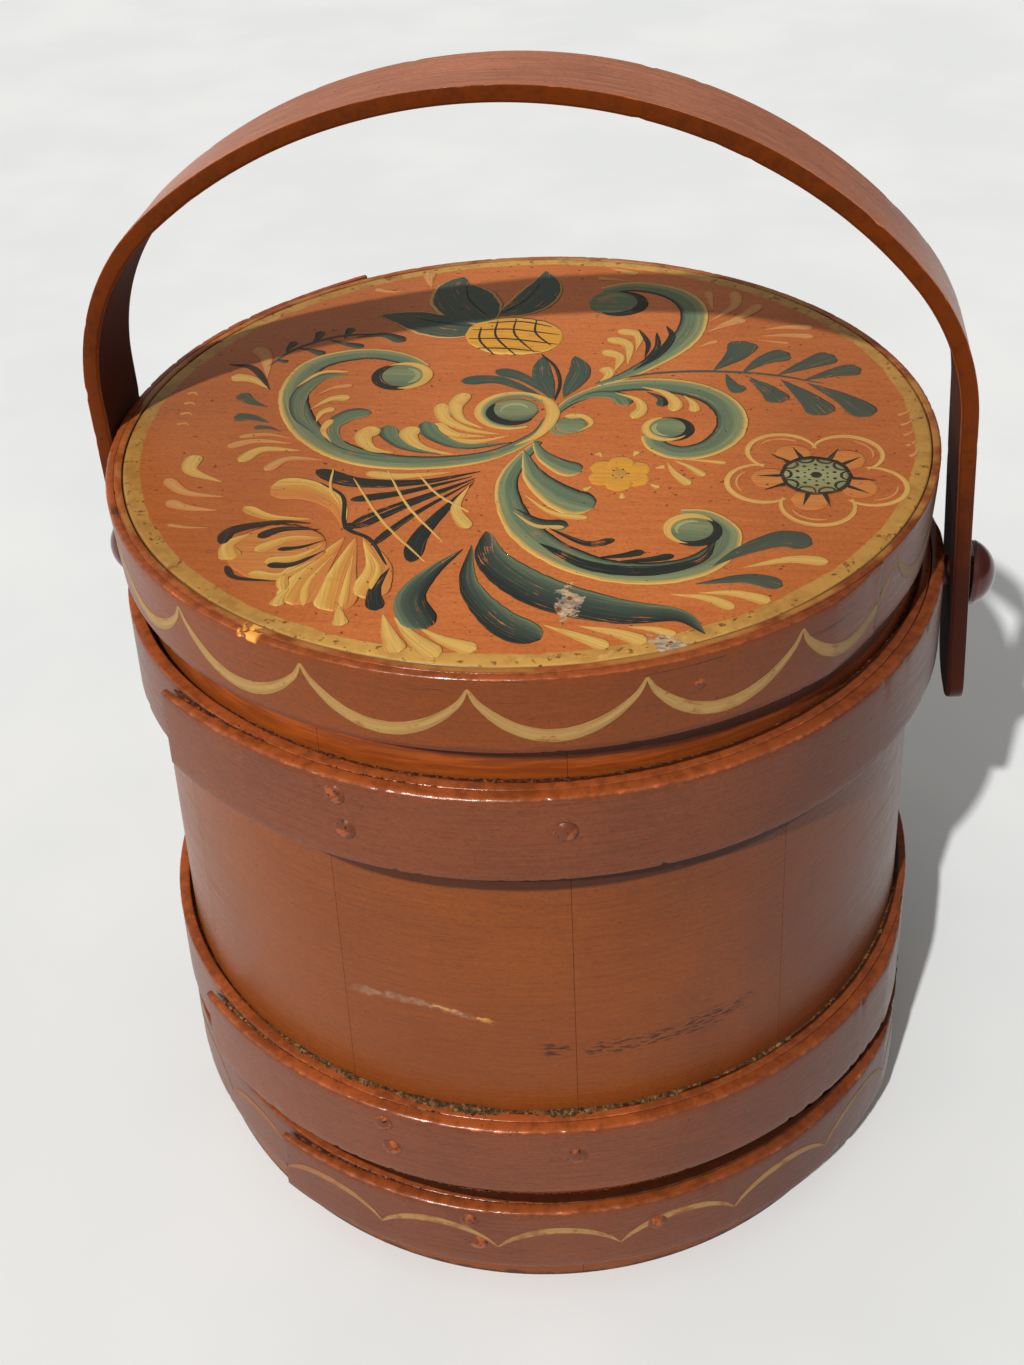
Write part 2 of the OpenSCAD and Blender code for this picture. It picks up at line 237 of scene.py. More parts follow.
def brushed_paint(name, colour, dark, edge=None, along="round", roughness=0.3, inside=None, extra=None, top_marks=None,
                  streaks=0.4):
    """Old oil paint over wood: fine brush ribs, short dark dashes of strength streaks and, where edge is a colour, rubbed edges.
    along says which way the brush went. A point's worn mark is 1 on a strip's narrow faces, its ridge mark 1 on the corners."""
    f = Finish(name)
    here = f.place()
    if along == "round":
        length, height, radius = f.round_the_box(here)
        flat = f.join(length, height, radius)
        fine, dashes = (60, 1300, 60), (330, 2100, 200)
    elif along == "x":
        flat = here
        fine, dashes = (50, 420, 60), (330, 1500, 110)
    else:
        flat = f.add("ShaderNodeTexCoord", output=2)
        fine, dashes = (30, 1000, 1), (70, 1500, 1)
    ribs = f.noise(f.stretch(flat, *fine), 1.0, 5, 0.65)
    drift = f.noise(here, 20, 5, 0.6)
    shade = f.math("ADD", f.math("MULTIPLY", ribs, 0.55), f.math("MULTIPLY", drift, 0.45))
    out = f.mix(f.window(shade, 0.34, 0.64), dark, colour)
    dash = f.window(f.noise(f.stretch(flat, *dashes), 1.0, 3, 0.6), 0.6, 0.68)
    out = f.mix(f.math("MULTIPLY", dash, streaks), out, paint_colour(74, 38, 18))
    specks = f.math("MAXIMUM", f.window(f.noise(here, 620, 2, 0.5), 0.72, 0.77), f.window(f.noise(here, 290, 3, 0.6), 0.73, 0.75))
    out = f.mix(f.math("MULTIPLY", specks, 0.65), out, SOOT)
    grit = f.window(f.noise(here, 850, 3, 0.7), 0.42, 0.62)
    out = f.mix(f.math("MULTIPLY", grit, 0.28), out, f.mix(0.45, dark, SOOT))
    if extra:
        out = extra(f, here, out)
    rough_out = f.window(ribs, 0.3, 0.75, roughness - 0.05, roughness + 0.1)
    if edge:
        worn, ridge = f.attribute("worn"), f.attribute("ridge")
        crumbly = f.noise(here, 300, 5, 0.65)
        where = f.noise(here, 24, 3, 0.6)
        top = f.window(f.math("ADD", worn, f.math("MULTIPLY", crumbly, 0.5)), 0.7, 1.05)
        mottled = f.mix(f.window(f.math("ADD", f.math("MULTIPLY", crumbly, 0.5), f.math("MULTIPLY", where, 0.5)), 0.4, 0.56), f.mix(0.45, edge, OLD_VARNISH), edge)
        out = f.mix(top, out, mottled)
        rub = f.math("ADD", f.math("ADD", f.math("MULTIPLY", ridge, 0.4), f.math("MULTIPLY", crumbly, 0.8)),
                     f.math("MULTIPLY", where, 0.9))
        out = f.mix(f.math("MULTIPLY", f.window(rub, 1.24, 1.36), 0.7), out, WORN_ORANGE)
        out = f.mix(f.window(rub, 1.4, 1.44), out, BARE_TAN)
        dirt_spots = f.noise(f.stretch(here, 1.1, 0.9, 1.6), 380, 4, 0.62)
        stains = f.window(f.math("ADD", f.math("MULTIPLY", worn, 0.25), dirt_spots), 0.9, 0.97)
        out = f.mix(f.math("MULTIPLY", stains, f.window(where, 0.42, 0.6)), out, SOOT)
        rough_out = f.math("SUBTRACT", rough_out, f.math("MULTIPLY", f.math("MAXIMUM", top, ridge), 0.1))
        f.dull(f.window(f.math("MULTIPLY", ridge, crumbly), 0.3, 0.55, USUAL_SHINE, 0.7))
    if along == "round":
        # Painted shade: the box's right side is darkened as if out of the light, fading out again toward the back.
        shade_edge_wobble = f.noise(f.stretch(flat, 34, 16, 1), 1.0, 4, 0.65)
        right_side_shade = f.window(f.math("ADD", length, f.math("MULTIPLY", shade_edge_wobble, 90 * MM)), 70 * MM, 165 * MM)
        right_side_shade = f.math("MULTIPLY", right_side_shade, f.window(length, 190 * MM, 320 * MM, 1.0, 0.0))
        out = f.mix(f.math("MULTIPLY", right_side_shade, 0.42), out, paint_colour(64, 34, 30))
    if top_marks:
        out = top_marks(f, here, out)
    if inside:
        out, rough_out = inside(f, here, out, rough_out)
    relief = f.math("ADD", f.math("MULTIPLY", ribs, 0.6), f.math("MULTIPLY", f.noise(here, 300, 5, 0.65), 0.5))
    return f.finish(out, rough_out, relief, strength=0.34, distance=0.0005)


def bare_inside(f, here, colour, roughness):
    """Raw wood on the faces that lie inside the staves' outer face, with upright grain."""
    length, height, radius = f.round_the_box(here)
    depth = f.math("ADD", radius, f.math("MULTIPLY", height, STAVE_LEAN))
    raw = f.window(depth, FOOT_R - 1.2 * MM, FOOT_R - 0.5 * MM, 1.0, 0.0)
    grain = f.noise(f.stretch(f.join(length, height, radius), 260, 14, 60), 1.0, 5, 0.6)
    wood = f.mix(f.window(grain, 0.35, 0.7), paint_colour(150, 112, 74), RAW_WOOD)
    return f.mix(raw, colour, wood), f.blend(raw, roughness, 0.7)


def nail_paint():
    """Paint over iron: the field's colour, rubbed lighter in patches, with soot spots."""
    f = Finish("painted_over_iron")
    here = f.place()
    rub = f.window(f.noise(here, 300, 3, 0.6), 0.48, 0.62)
    colour = f.mix(rub, paint_colour(104, 56, 36), paint_colour(152, 78, 38))
    spots = f.window(f.noise(here, 700, 2, 0.5), 0.6, 0.68)
    return f.finish(f.mix(spots, colour, SOOT), 0.34, f.noise(here, 500, 3), strength=0.3)


def dark_varnish():
    f = Finish("dark_varnish")
    here = f.place()
    turned = f.noise(f.stretch(here, 700, 60, 60), 1.0, 3, 0.5)
    colour = f.mix(f.window(turned, 0.35, 0.65), paint_colour(58, 20, 14), PEG_RED)
    return f.finish(colour, 0.16, turned, strength=0.05, coat=0.5)


def old_dirt(name, dark, crumb, fleck):
    f = Finish(name)
    here = f.place()
    crumbs = f.noise(here, 700, 4, 0.7)
    colour = f.mix(f.window(crumbs, 0.38, 0.58), dark, crumb)
    colour = f.mix(f.window(crumbs, 0.54, 0.62), colour, fleck)
    colour = f.mix(f.window(f.noise(here, 260, 3, 0.6), 0.58, 0.68), colour, paint_colour(120, 70, 44))
    return f.finish(colour, 0.8, crumbs, strength=0.8, distance=0.0006)


def painted_side_shade(f, here, colour, strength):
    """Painted shade: the lid's top is darkened toward its left and right edges, so that its middle stands brighter.
    strength is how much at the left edge.
    """
    x, y, z = f.split(here)
    uneven = f.math("MULTIPLY", f.math("SUBTRACT", f.noise(here, 26, 4, 0.6), 0.5), 60 * MM)
    across = f.math("ADD", x, uneven)
    darkened_sides = f.math("ADD", f.window(across, -85 * MM, -15 * MM, strength, 0.0), f.window(across, 35 * MM, 95 * MM, 0.0, 0.8 * strength))
    on_top = f.window(z, LID_TOP - 0.6 * MM, LID_TOP - 0.3 * MM)
    return f.mix(f.math("MULTIPLY", darkened_sides, on_top), colour, SIDE_SHADE_BROWN)


def flaked(f, here, colour):
    """Two places near the lid's front edge where the paint has flaked off, with pale crumbs round them."""
    x, y, z = f.split(here)
    torn = f.math("SUBTRACT", f.noise(here, 260, 4, 0.65), 0.5)
    tone = f.mix(f.window(f.noise(f.stretch(here, 1, 2.2, 1), 300, 4, 0.6), 0.4, 0.6), FLAKE_GREY, FLAKE_PALE)
    tone = f.mix(f.window(f.noise(here, 420, 3, 0.6), 0.56, 0.64), tone, BROWN_LINE)
    out = colour
    for middle_x, middle_y, half_x, half_y, slant in ((22.5, -92, 4, 8.5, 0.25), (49, -108.2, 9, 3.8, 0.45)):
        across = f.math("DIVIDE", f.math("SUBTRACT", x, middle_x * MM), half_x * MM)
        off_y = f.math("SUBTRACT", f.math("SUBTRACT", y, middle_y * MM), f.math("MULTIPLY", f.math("SUBTRACT", x, middle_x * MM), -slant))
        along = f.math("DIVIDE", off_y, half_y * MM)
        far = f.math("SQRT", f.math("ADD", f.math("MULTIPLY", across, across), f.math("MULTIPLY", along, along)))
        far = f.math("ADD", far, f.math("MULTIPLY", torn, 3.2))
        lost = f.math("MULTIPLY", f.window(far, 0.62, 0.72, 1.0, 0.0), f.window(z, LID_TOP - 1.2 * MM, LID_TOP - 0.8 * MM))
        out = f.mix(lost, out, tone)
    return out


def ornament_paint(name, under, worn_off, shade_at_right=0.0, rubbed_left=0.0):
    """Brush strokes: each point carries its colour, the UV runs along and across the stroke. The colour under them
    shows where they are worn off, from 0 to 1. shade_at_right says how much painted shade darkens the ones at the right
    side, rubbed_left how much the ones at the left front are rubbed away."""
    f = Finish(name)
    here = f.place()
    along = f.add("ShaderNodeTexCoord", output=2)
    hair = f.noise(f.stretch(along, 45, 2100, 1), 1.0, 4, 0.6)
    tone = f.attribute("paint", output=0)
    colour = f.mix(f.window(hair, 0.28, 0.6), f.mix(0.3, tone, SOOT), tone)
    colour = f.mix(f.math("MULTIPLY", f.window(hair, 0.56, 0.74), 0.22), colour, CREAM)
    wear = f.math("ADD", hair, f.math("MULTIPLY", f.noise(here, 170, 4, 0.6), 0.9))
    colour = f.mix(f.math("MULTIPLY", f.window(wear, 1.12 - 0.16 * worn_off, 1.24 - 0.16 * worn_off), 0.8), colour, under)
    pits = f.window(f.noise(here, 640, 3, 0.6), 0.68, 0.73)
    # Soot pits, then the painted shade toward the lid's sides, then the flaked places.
    colour = painted_side_shade(f, here, f.mix(f.math("MULTIPLY", pits, 0.85), colour, SOOT), 0.2)
    colour = flaked(f, here, colour)
    # Painted shade: strokes on the box's right side are darkened.
    if shade_at_right:
        length = f.round_the_box(here)[0]
        colour = f.mix(f.window(length, 60 * MM, 170 * MM, 0.0, shade_at_right), colour, paint_colour(70, 52, 40))
        left = f.math("MULTIPLY", f.window(length, -240 * MM, -150 * MM), f.window(length, -80 * MM, -30 * MM, 1.0, 0.0))
        colour = f.mix(f.math("MULTIPLY", left, rubbed_left), colour, under)
    return f.finish(colour, f.window(hair, 0.3, 0.7, 0.42, 0.56), hair, strength=0.25, distance=0.0003)


# Shapes

def make_mesh(name, points, faces, materials, marks=None, colours=None, uvs=None):
    """A closed smooth mesh from points and faces. marks are named numbers per point, colours one per point."""
    mesh = bpy.data.meshes.new(name)
    mesh.from_pydata([tuple(p) for p in points], [], faces)
    for material in materials:
        mesh.materials.append(material)
    for key, values in (marks or {}).items():
        mesh.attributes.new(key, "FLOAT", "POINT").data.foreach_set("value", np.asarray(values, np.float32))
    if colours is not None:
        rgba = np.ones((len(points), 4), np.float32)
        rgba[:, :3] = colours
        mesh.attributes.new("paint", "FLOAT_COLOR", "POINT").data.foreach_set("color", rgba.ravel())
    if uvs is not None:
        layer = mesh.uv_layers.new(name="run")
        corners = np.zeros(len(mesh.loops), np.int32)
        mesh.loops.foreach_get("vertex_index", corners)
        layer.data.foreach_set("uv", np.asarray(uvs, np.float32)[corners].ravel())
    work = bmesh.new()
    work.from_mesh(mesh)
    bmesh.ops.recalc_face_normals(work, faces=work.faces)
    work.to_mesh(mesh)
    work.free()
    mesh.polygons.foreach_set("use_smooth", [True] * len(mesh.polygons))
    made = bpy.data.objects.new(name, mesh)
    bpy.context.scene.collection.objects.link(made)
    return made


def settle(piece, body, slot, *stood_for):
    """Rides a finished piece on a body, in place of solids. slot is not used."""
    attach(piece, body)
    if stood_for:
        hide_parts(*stood_for)
    return piece


def wander(*place):
    return noise.noise(Vector(place))


def rounded_section(outer, inner, sides=(0.12, 0.5, 0.88)):
    """Section of a strip as points (across, up, shift across, shift up, worn, ridge). The first two are shares of its
    thickness and height. outer is the radius of its top outer corner, inner that of its inner corners."""
    points = []
    for across, up, start in ((1, 0, -90), (1, 1, 0), (0, 1, 90), (0, 0, 180)):
        corner = (outer if up else 0.4 * outer) if across else inner
        for step in range(4):
            turn = math.radians(start + 30 * step)
            shift_a = corner * ((math.cos(turn) - 1) if across else (math.cos(turn) + 1))
            shift_u = corner * ((math.sin(turn) - 1) if up else (math.sin(turn) + 1))
            points.append((across, up, shift_a, shift_u, 1 - abs(shift_u) / corner, math.sin(math.pi * step / 3) * across))
        if (across, up) == (1, 0):
            points += [(1, share, 0, 0, 0, 0) for share in sides]
        if (across, up) == (0, 1):
            points += [(0, share, 0, 0, 0, 0) for share in reversed(sides)]
    return points


def sweep(rings, closed, count):
    """Faces of a tube through rings of count points each, with flat ends where it isn't closed."""
    faces = []
    for i in range(rings if closed else rings - 1):
        for j in range(count):
            a, b = i * count + j, i * count + (j + 1) % count
            c, d = ((i + 1) % rings) * count + (j + 1) % count, ((i + 1) % rings) * count + j
            faces.append((a, b, c, d))
    if not closed:
        faces.append(tuple(range(count)))
        faces.append(tuple(range((rings - 1) * count, rings * count)))
    return faces


def bent_strip(start_az, span, inner_r, thickness, z, height, lean, corners, seed, chip, spring=0.0, sink=0.0, over=24,
               stand_off=lambda az: 0.0):
    """A strip bent round the box. inner_r is its inner radius at z = 0 along the lean, thickness a function of the share
    of the way along it. Over its first degrees it springs outwards and its top sinks; stand_off pushes it out at an azimuth.
    Returns points, faces and the worn and ridge marks."""
    closed = span >= 360
    rings = round(span / 0.6) + (0 if closed else 1)
    section = rounded_section(*corners)
    points, worn, ridge = [], [], []
    for i in range(rings):
        share = i / (rings if closed else rings - 1)
        degrees = start_az + span * share
        c, s = math.cos(math.radians(degrees)), math.sin(math.radians(degrees))
        t = thickness(share)
        loose = max(0.0, 1 - share * span / over) ** 2
        bulge = 0.25 * MM * wander(2.1 * c, 2.1 * s, seed) + spring * loose + stand_off(degrees)
        ease = min(1.0, t / (2.2 * max(corners)))
        for across, up, shift_a, shift_u, on_edge, on_ridge in section:
            at_corner = abs(shift_a) + abs(shift_u) > 0
            up_z = z + up * (height - sink * loose) + shift_u * ease
            bite = wander(c * 46, s * 46, seed + 7 * up + 3 * across) + 0.6 * wander(c * 130, s * 130, seed + up)
            nick = chip * max(0.0, bite - 0.34) if across and at_corner else 0.0
            wave = 0.35 * MM * wander(3.1 * c, 3.1 * s, seed + 20 + up) * (up - 0.5)
            fray = 0.1 * MM * wander(60 * c, 60 * s, seed + 31 + up) * up
            r = inner_r - lean * up_z + bulge + across * t + shift_a * ease - nick
            points.append((r * c, r * s, up_z + wave + fray - nick * (0.6 if up else -0.6)))
            worn.append(on_edge)
            ridge.append(on_ridge)
    return points, sweep(rings, closed, len(section)), worn, ridge


def joined(parts):
    """Several (points, faces, worn, ridge) sets as one."""
    points, faces, worn, ridge = [], [], [], []
    for more_points, more_faces, more_worn, more_ridge in parts:
        base = len(points)
        points += more_points
        faces += [tuple(i + base for i in face) for face in more_faces]
        worn += more_worn
        ridge += more_ridge
    return points, faces, {"worn": worn, "ridge": ridge}


def lap_thickness(t, span, far_over, far_least, start_least=1.0, start_over=24):
    """Thickness of a lap along its way: thin at its start, t on most of it, tapered over its last degrees."""
    def at(share):
        far = (1 - share) * span / far_over
        near = share * span / start_over
        return t * min(1.0, max(far_least, far), 1 - (1 - start_least) * max(0.0, 1 - near) ** 2)

    return at


def hoop_wood(node, lap_az, lap_span, seed, paint, spring, stand_off):
    """A hoop's inner ring and its outer lap, whose start stands off and whose far end thins out."""
    z, height = low(node).z, high(node).z - low(node).z
    inner = FOOT_R + HOOP_GAP
    layer = HOOP_T - 0.04 * MM
    ring = bent_strip(90, 360, inner, lambda share: layer, z, height, STAVE_LEAN, (0.5 * MM, 0.7 * MM), seed, 0.5 * MM,
                      stand_off=stand_off)
    lap = bent_strip(lap_az, lap_span, inner + HOOP_T + 0.02 * MM, lap_thickness(layer, lap_span, 13.5, 0.09, 0.5), z, height,
                     STAVE_LEAN, (1.4 * MM, 0.25 * MM), seed + 50, 1.1 * MM, spring, 1.6 * MM, 24, stand_off)
    points, faces, marks = joined([ring, lap])
    piece = make_mesh(node + "_wood", points, faces, [paint], marks)
    return settle(piece, "bucket", "painted_hoops", node)


def rim_wood(paint):
    z, height = low("lid_rim").z, high("lid_rim").z - low("lid_rim").z
    layer = RIM_T - 0.04 * MM
    ring = bent_strip(90, 360, RIM_IN, lambda share: layer, z, height, 0.0, (0.3 * MM, 0.4 * MM), 5, 0.4 * MM)
    lap = bent_strip(124, 202, RIM_IN + RIM_T + 0.02 * MM, lap_thickness(layer, 202, 10, 0.16), z, height, 0.0,
                     (0.8 * MM, 0.15 * MM), 60, 0.8 * MM, 1.4 * MM, 0.0, 16)
    points, faces, marks = joined([ring, lap])
    piece = make_mesh("lid_rim_wood", points, faces, [paint], marks)
    return settle(piece, "lid", "painted_rim", "lid_rim")


def lid_wood(paint):
    """The lid's board: a disc whose top has worn a little wavy and whose edge is eased."""
    top, bottom = LID_TOP, low("lid_board").z
    edge = 0.9 * MM
    rings, around = 60, 300
    flat_r = LID_R - 1.2 * edge
    rows = [(flat_r * i / rings, top) for i in range(1, rings + 1)]
    rows += [(LID_R - edge + edge * math.sin(math.radians(a)), top - edge + edge * math.cos(math.radians(a)))
             for a in (20, 45, 70, 90)]
    rows += [(LID_R, (top + bottom) / 2), (LID_R, bottom), (LID_R * 0.6, bottom), (LID_R * 0.2, bottom)]
    points = [(0, 0, top)]
    for r, z in rows:
        for i in range(around):
            az = 2 * math.pi * i / around
            x, y = r * math.cos(az), r * math.sin(az)
            dent = (0.16 * wander(26 * x, 34 * y, 3) + 0.05 * wander(120 * x, 160 * y, 9)) * MM if z > top - edge else 0
            points.append((x, y, z + dent))
    points.append((0, 0, bottom))
    faces = [(0, 1 + i, 1 + (i + 1) % around) for i in range(around)]
    for row in range(len(rows) - 1):
        for i in range(around):
            a, b = 1 + row * around + i, 1 + row * around + (i + 1) % around
            faces.append((a, a + around, b + around, b))
    last = 1 + (len(rows) - 1) * around
    faces += [(last + i, len(points) - 1, last + (i + 1) % around) for i in range(around)]
    piece = make_mesh("lid_board_wood", points, faces, [paint])
    return settle(piece, "lid", "painted_lid", "lid_board")


SHOULDER_START = 262 * MM
SHOULDER_R = 74 * MM
SHOULDER_RISE = 60.5 * MM
RIGHT_LEAN, LEFT_LEAN = 6 * MM, 1.5 * MM
STRAP_T = 4.9 * MM
STRAP_HALF_W = 14.5 * MM
TAIL_CORNER = 11 * MM


def half_path(lean, steps=60):
    """One side of the bail's outer face, from the tail's end to the crown's middle, as (x, z, outward angle)."""
    tail_low, crown_top = low("bail_handle").z, high("bail_handle").z
    turn_at_arm = math.atan2(lean, SHOULDER_RISE)
    slope = lean / SHOULDER_RISE
    arm_x = high("bail_handle").x - (SHOULDER_START - tail_low) * RIGHT_LEAN / SHOULDER_RISE
    centre_x = arm_x - SHOULDER_R * math.cos(turn_at_arm)
    centre_z = SHOULDER_START - SHOULDER_R * math.sin(turn_at_arm)
    drop = centre_z - crown_top
    crown_r = (SHOULDER_R ** 2 - centre_x ** 2 - drop ** 2) / (2 * (drop + SHOULDER_R))
    turn_at_crown = math.atan2(centre_z - crown_top + crown_r, centre_x)
    path = []
    for i in range(steps):
        z = tail_low + (SHOULDER_START - tail_low) * (i / steps) ** 1.5
        path.append((arm_x + (SHOULDER_START - z) * slope, z, turn_at_arm))
    for i in range(steps):
        turn = turn_at_arm + (turn_at_crown - turn_at_arm) * i / steps
        path.append((centre_x + SHOULDER_R * math.cos(turn), centre_z + SHOULDER_R * math.sin(turn), turn))
    for i in range(steps + 1):
        turn = turn_at_crown + (math.pi / 2 - turn_at_crown) * i / steps
        path.append((crown_r * math.cos(turn), crown_top - crown_r + crown_r * math.sin(turn), turn))
    return path


def strap_wood(paint):
    """The bail: one strap with rounded tails, chipped along its edges."""
    corner = 1.1 * MM
    path = half_path(RIGHT_LEAN) + [(-x, z, math.pi - turn) for x, z, turn in reversed(half_path(LEFT_LEAN)[:-1])]
    runs = [0.0]
    for (x, z, _), (last_x, last_z, _) in zip(path[1:], path):
        runs.append(runs[-1] + math.hypot(x - last_x, z - last_z))
    section = rounded_section(corner, corner, sides=(0.06, 0.28, 0.5, 0.72, 0.94))
    points, worn, ridge, inside, uvs = [], [], [], [], []
    for (x, z, turn), run in zip(path, runs):
        into = max(0.0, TAIL_CORNER - min(run, runs[-1] - run))
        half = STRAP_HALF_W - TAIL_CORNER + math.sqrt(max(0.0, TAIL_CORNER ** 2 - into ** 2))
        for across, up, shift_a, shift_u, on_edge, on_ridge in section:
            side = 1 if up > 0.5 else -1
            face = 1 if across else -1
            at_corner = abs(shift_a) + abs(shift_u) > 0
            bite = wander(run * 130, side * 9, 40 + across) + 0.6 * wander(run * 420, side * 5, 44)
            nick = max(0.0, bite - 0.36) * 0.9 * MM if at_corner else 0.0
            swell = 0.12 * MM * wander(run * 22, up * 2, 60) * face
            depth = (across - 1) * STRAP_T + shift_a + swell - nick * face
            y = (up * 2 - 1) * half + shift_u + 0.3 * MM * wander(run * 16, side, 50) - side * nick
            points.append((x + depth * math.cos(turn), y, z + depth * math.sin(turn)))
            worn.append(on_edge)
            ridge.append(on_ridge)
            inside.append((1 - across) * (1 - on_edge))
            uvs.append((run, y + 0.05 * (1 - across)))
    marks = {"worn": worn, "ridge": ridge, "inside": inside}
    piece = make_mesh("bail_strap", points, sweep(len(path), False, len(section)), [paint], marks, uvs=uvs)
    return settle(piece, "bail", "painted_strap", "bail_handle")


# Packed dirt in the crevices

def dirt_bead(name, start_az, span, radius, z, fat, wide, seed, dirt):
    """A broken, lumpy bead of dirt along a crevice of the bucket, with crumbs on it. radius, z and fat are functions of the
    azimuth in degrees; wide says how much broader than tall it is."""
    closed = span >= 360
    rings = round(span / 0.3) + (0 if closed else 1)
    around = 8
    points = []
    for i in range(rings):
        share = i / (rings if closed else rings - 1)
        degrees = start_az + span * share
        c, s = math.cos(math.radians(degrees)), math.sin(math.radians(degrees))
        much = 0.75 + 0.6 * wander(9 * c, 9 * s, seed) + 0.5 * wander(70 * c, 70 * s, seed + 1)
        much = max(0.15, min(1.3, much)) * (1 if closed else min(1, 14 * share, 14 * (1 - share)) + 0.04)
        for j in range(around):
            turn = 2 * math.pi * j / around
            lump = fat(degrees) * much * (1 + 0.45 * wander(240 * c, 240 * s, seed + 3 * j))
            r = radius(degrees) + wide * lump * math.cos(turn)
            points.append((r * c, r * s, z(degrees) + 0.8 * lump * math.sin(turn)))
    bead = make_mesh(name, points, sweep(rings, closed, around), [dirt])
    tree = bpy.data.node_groups.get("crumbs_on") or crumbs_on("crumbs_on")
    piece = grown(name, bead, tree, {"Crumb Size": 0.34 * MM, "Crowding": 900000.0, "Seed": seed, "Dirt": dirt})
    return settle(piece, "bucket", "painted_hoops")


def crumbs_on(name):
    """Node tree: strews small crumbs of dirt over a mesh."""
    tree = bpy.data.node_groups.new(name, "GeometryNodeTree")
    for title, kind, side in (("Geometry", "NodeSocketGeometry", "INPUT"), ("Crumb Size", "NodeSocketFloat", "INPUT"),
                              ("Crowding", "NodeSocketFloat", "INPUT"), ("Seed", "NodeSocketInt", "INPUT"),
                              ("Dirt", "NodeSocketMaterial", "INPUT"), ("Geometry", "NodeSocketGeometry", "OUTPUT")):
        tree.interface.new_socket(name=title, in_out=side, socket_type=kind)
    new, link = tree.nodes.new, tree.links.new
    inlet, outlet = new("NodeGroupInput"), new("NodeGroupOutput")
    strewn = new("GeometryNodeDistributePointsOnFaces")
    link(inlet.outputs["Geometry"], strewn.inputs["Mesh"])
    link(inlet.outputs["Crowding"], strewn.inputs["Density"])
    link(inlet.outputs["Seed"], strewn.inputs["Seed"])
    crumb = new("GeometryNodeMeshIcoSphere")
    crumb.inputs["Subdivisions"].default_value = 1
    link(inlet.outputs["Crumb Size"], crumb.inputs["Radius"])
    size = new("FunctionNodeRandomValue")
    size.data_type = "FLOAT_VECTOR"
    size.inputs[0].default_value = (0.35, 0.35, 0.35)
    size.inputs[1].default_value = (1.4, 1.4, 1.1)
    link(inlet.outputs["Seed"], size.inputs["Seed"])
    put = new("GeometryNodeInstanceOnPoints")
    link(strewn.outputs["Points"], put.inputs["Points"])
    link(crumb.outputs["Mesh"], put.inputs["Instance"])
    link(strewn.outputs["Rotation"], put.inputs["Rotation"])
    link(size.outputs[0], put.inputs["Scale"])
    whole = new("GeometryNodeRealizeInstances")
    link(put.outputs[0], whole.inputs[0])
    both = new("GeometryNodeJoinGeometry")
    link(whole.outputs[0], both.inputs[0])
    link(inlet.outputs["Geometry"], both.inputs[0])
    paint = new("GeometryNodeSetMaterial")
    link(both.outputs[0], paint.inputs["Geometry"])
    link(inlet.outputs["Dirt"], paint.inputs["Material"])
    link(paint.outputs[0], outlet.inputs[0])
    return tree


def grown(name, base, tree, settings):
    """The plain mesh that a node tree makes of a base piece, which it takes the place of."""
    modifier = base.modifiers.new("grow", "NODES")
    modifier.node_group = tree
    keys = {item.name: item.identifier for item in tree.interface.items_tree if item.in_out == "INPUT"}
    for title, value in settings.items():
        modifier[keys[title]] = value
    whole = base.evaluated_get(bpy.context.evaluated_depsgraph_get())
    mesh = bpy.data.meshes.new_from_object(whole)
    base.modifiers.clear()
    bpy.data.objects.remove(base)
    work = bmesh.new()
    work.from_mesh(mesh)
    bmesh.ops.recalc_face_normals(work, faces=work.faces)
    work.to_mesh(mesh)
    work.free()
    piece = bpy.data.objects.new(name, mesh)
    bpy.context.scene.collection.objects.link(piece)
    return piece


# Brush strokes. Their points are (x, y) in millimetres on the lid's plane, or along and up a strip.

ACROSS = (-1, -0.9, -0.84, -0.6, -0.3, 0, 0.3, 0.6, 0.84, 0.9, 1)
PAINT_T = 0.07 * MM


def curve_through(knots, step):
    """Evenly spaced rows of a smooth curve through the knots, and how far along each row lies."""
    knots = np.array(knots, float)
    padded = np.vstack([2 * knots[0] - knots[1], knots, 2 * knots[-1] - knots[-2]])
    rows = []
    for a, b, c, d in zip(padded, padded[1:], padded[2:], padded[3:]):
        for t in np.arange(0, 1, 1 / 16):
            rows.append(0.5 * (2 * b + (c - a) * t + (2 * a - 5 * b + 4 * c - d) * t * t + (3 * b - a - 3 * c + d) * t ** 3))
    rows = np.array(rows + [knots[-1]])
    run = np.concatenate([[0], np.cumsum(np.hypot(*np.diff(rows[:, :2], axis=0).T))])
    want = np.linspace(0, run[-1], max(6, round(run[-1] / step)))
    return np.column_stack([np.interp(want, run, column) for column in rows.T]), want


def comma_press(t):
    """How hard the brush is pressed: at once, then less and less."""
    return math.sqrt(max(0, 1 - (1 - t / 0.16) ** 2)) if t < 0.16 else (1 - (t - 0.16) / 0.84) ** 0.85


def leaf_press(t):
    return max(0, math.sin(math.pi * t ** 0.85)) ** 0.8


def line_press(t):
    return max(0, math.sin(math.pi * t)) ** 0.35


def scroll_press(t):
    """From a thin start to a full body that stays full to its curled end."""
    return (0.22 + 0.78 * min(1, t / 0.4) ** 0.8) * (1 if t < 0.7 else 1 - 0.35 * (t - 0.7) / 0.3)


def dot_press(t):
    return math.sqrt(max(0, 1 - (2 * t - 1) ** 2))


def tone_at(tones, side):
    """Colour at a place across the stroke, from stops (side, colour)."""
    for (a, first), (b, second) in zip(tones, tones[1:]):
        if side <= b:
            share = 0 if b == a else max(0, (side - a) / (b - a))
            return [p + (q - p) * share for p, q in zip(first, second)]
    return tones[-1][1]


def on_circle(x, y, r, start, end, steps=10):
    turns = [math.radians(start + (end - start) * i / steps) for i in range(steps + 1)]
    return [(x + r * math.cos(a), y + r * math.sin(a)) for a in turns]


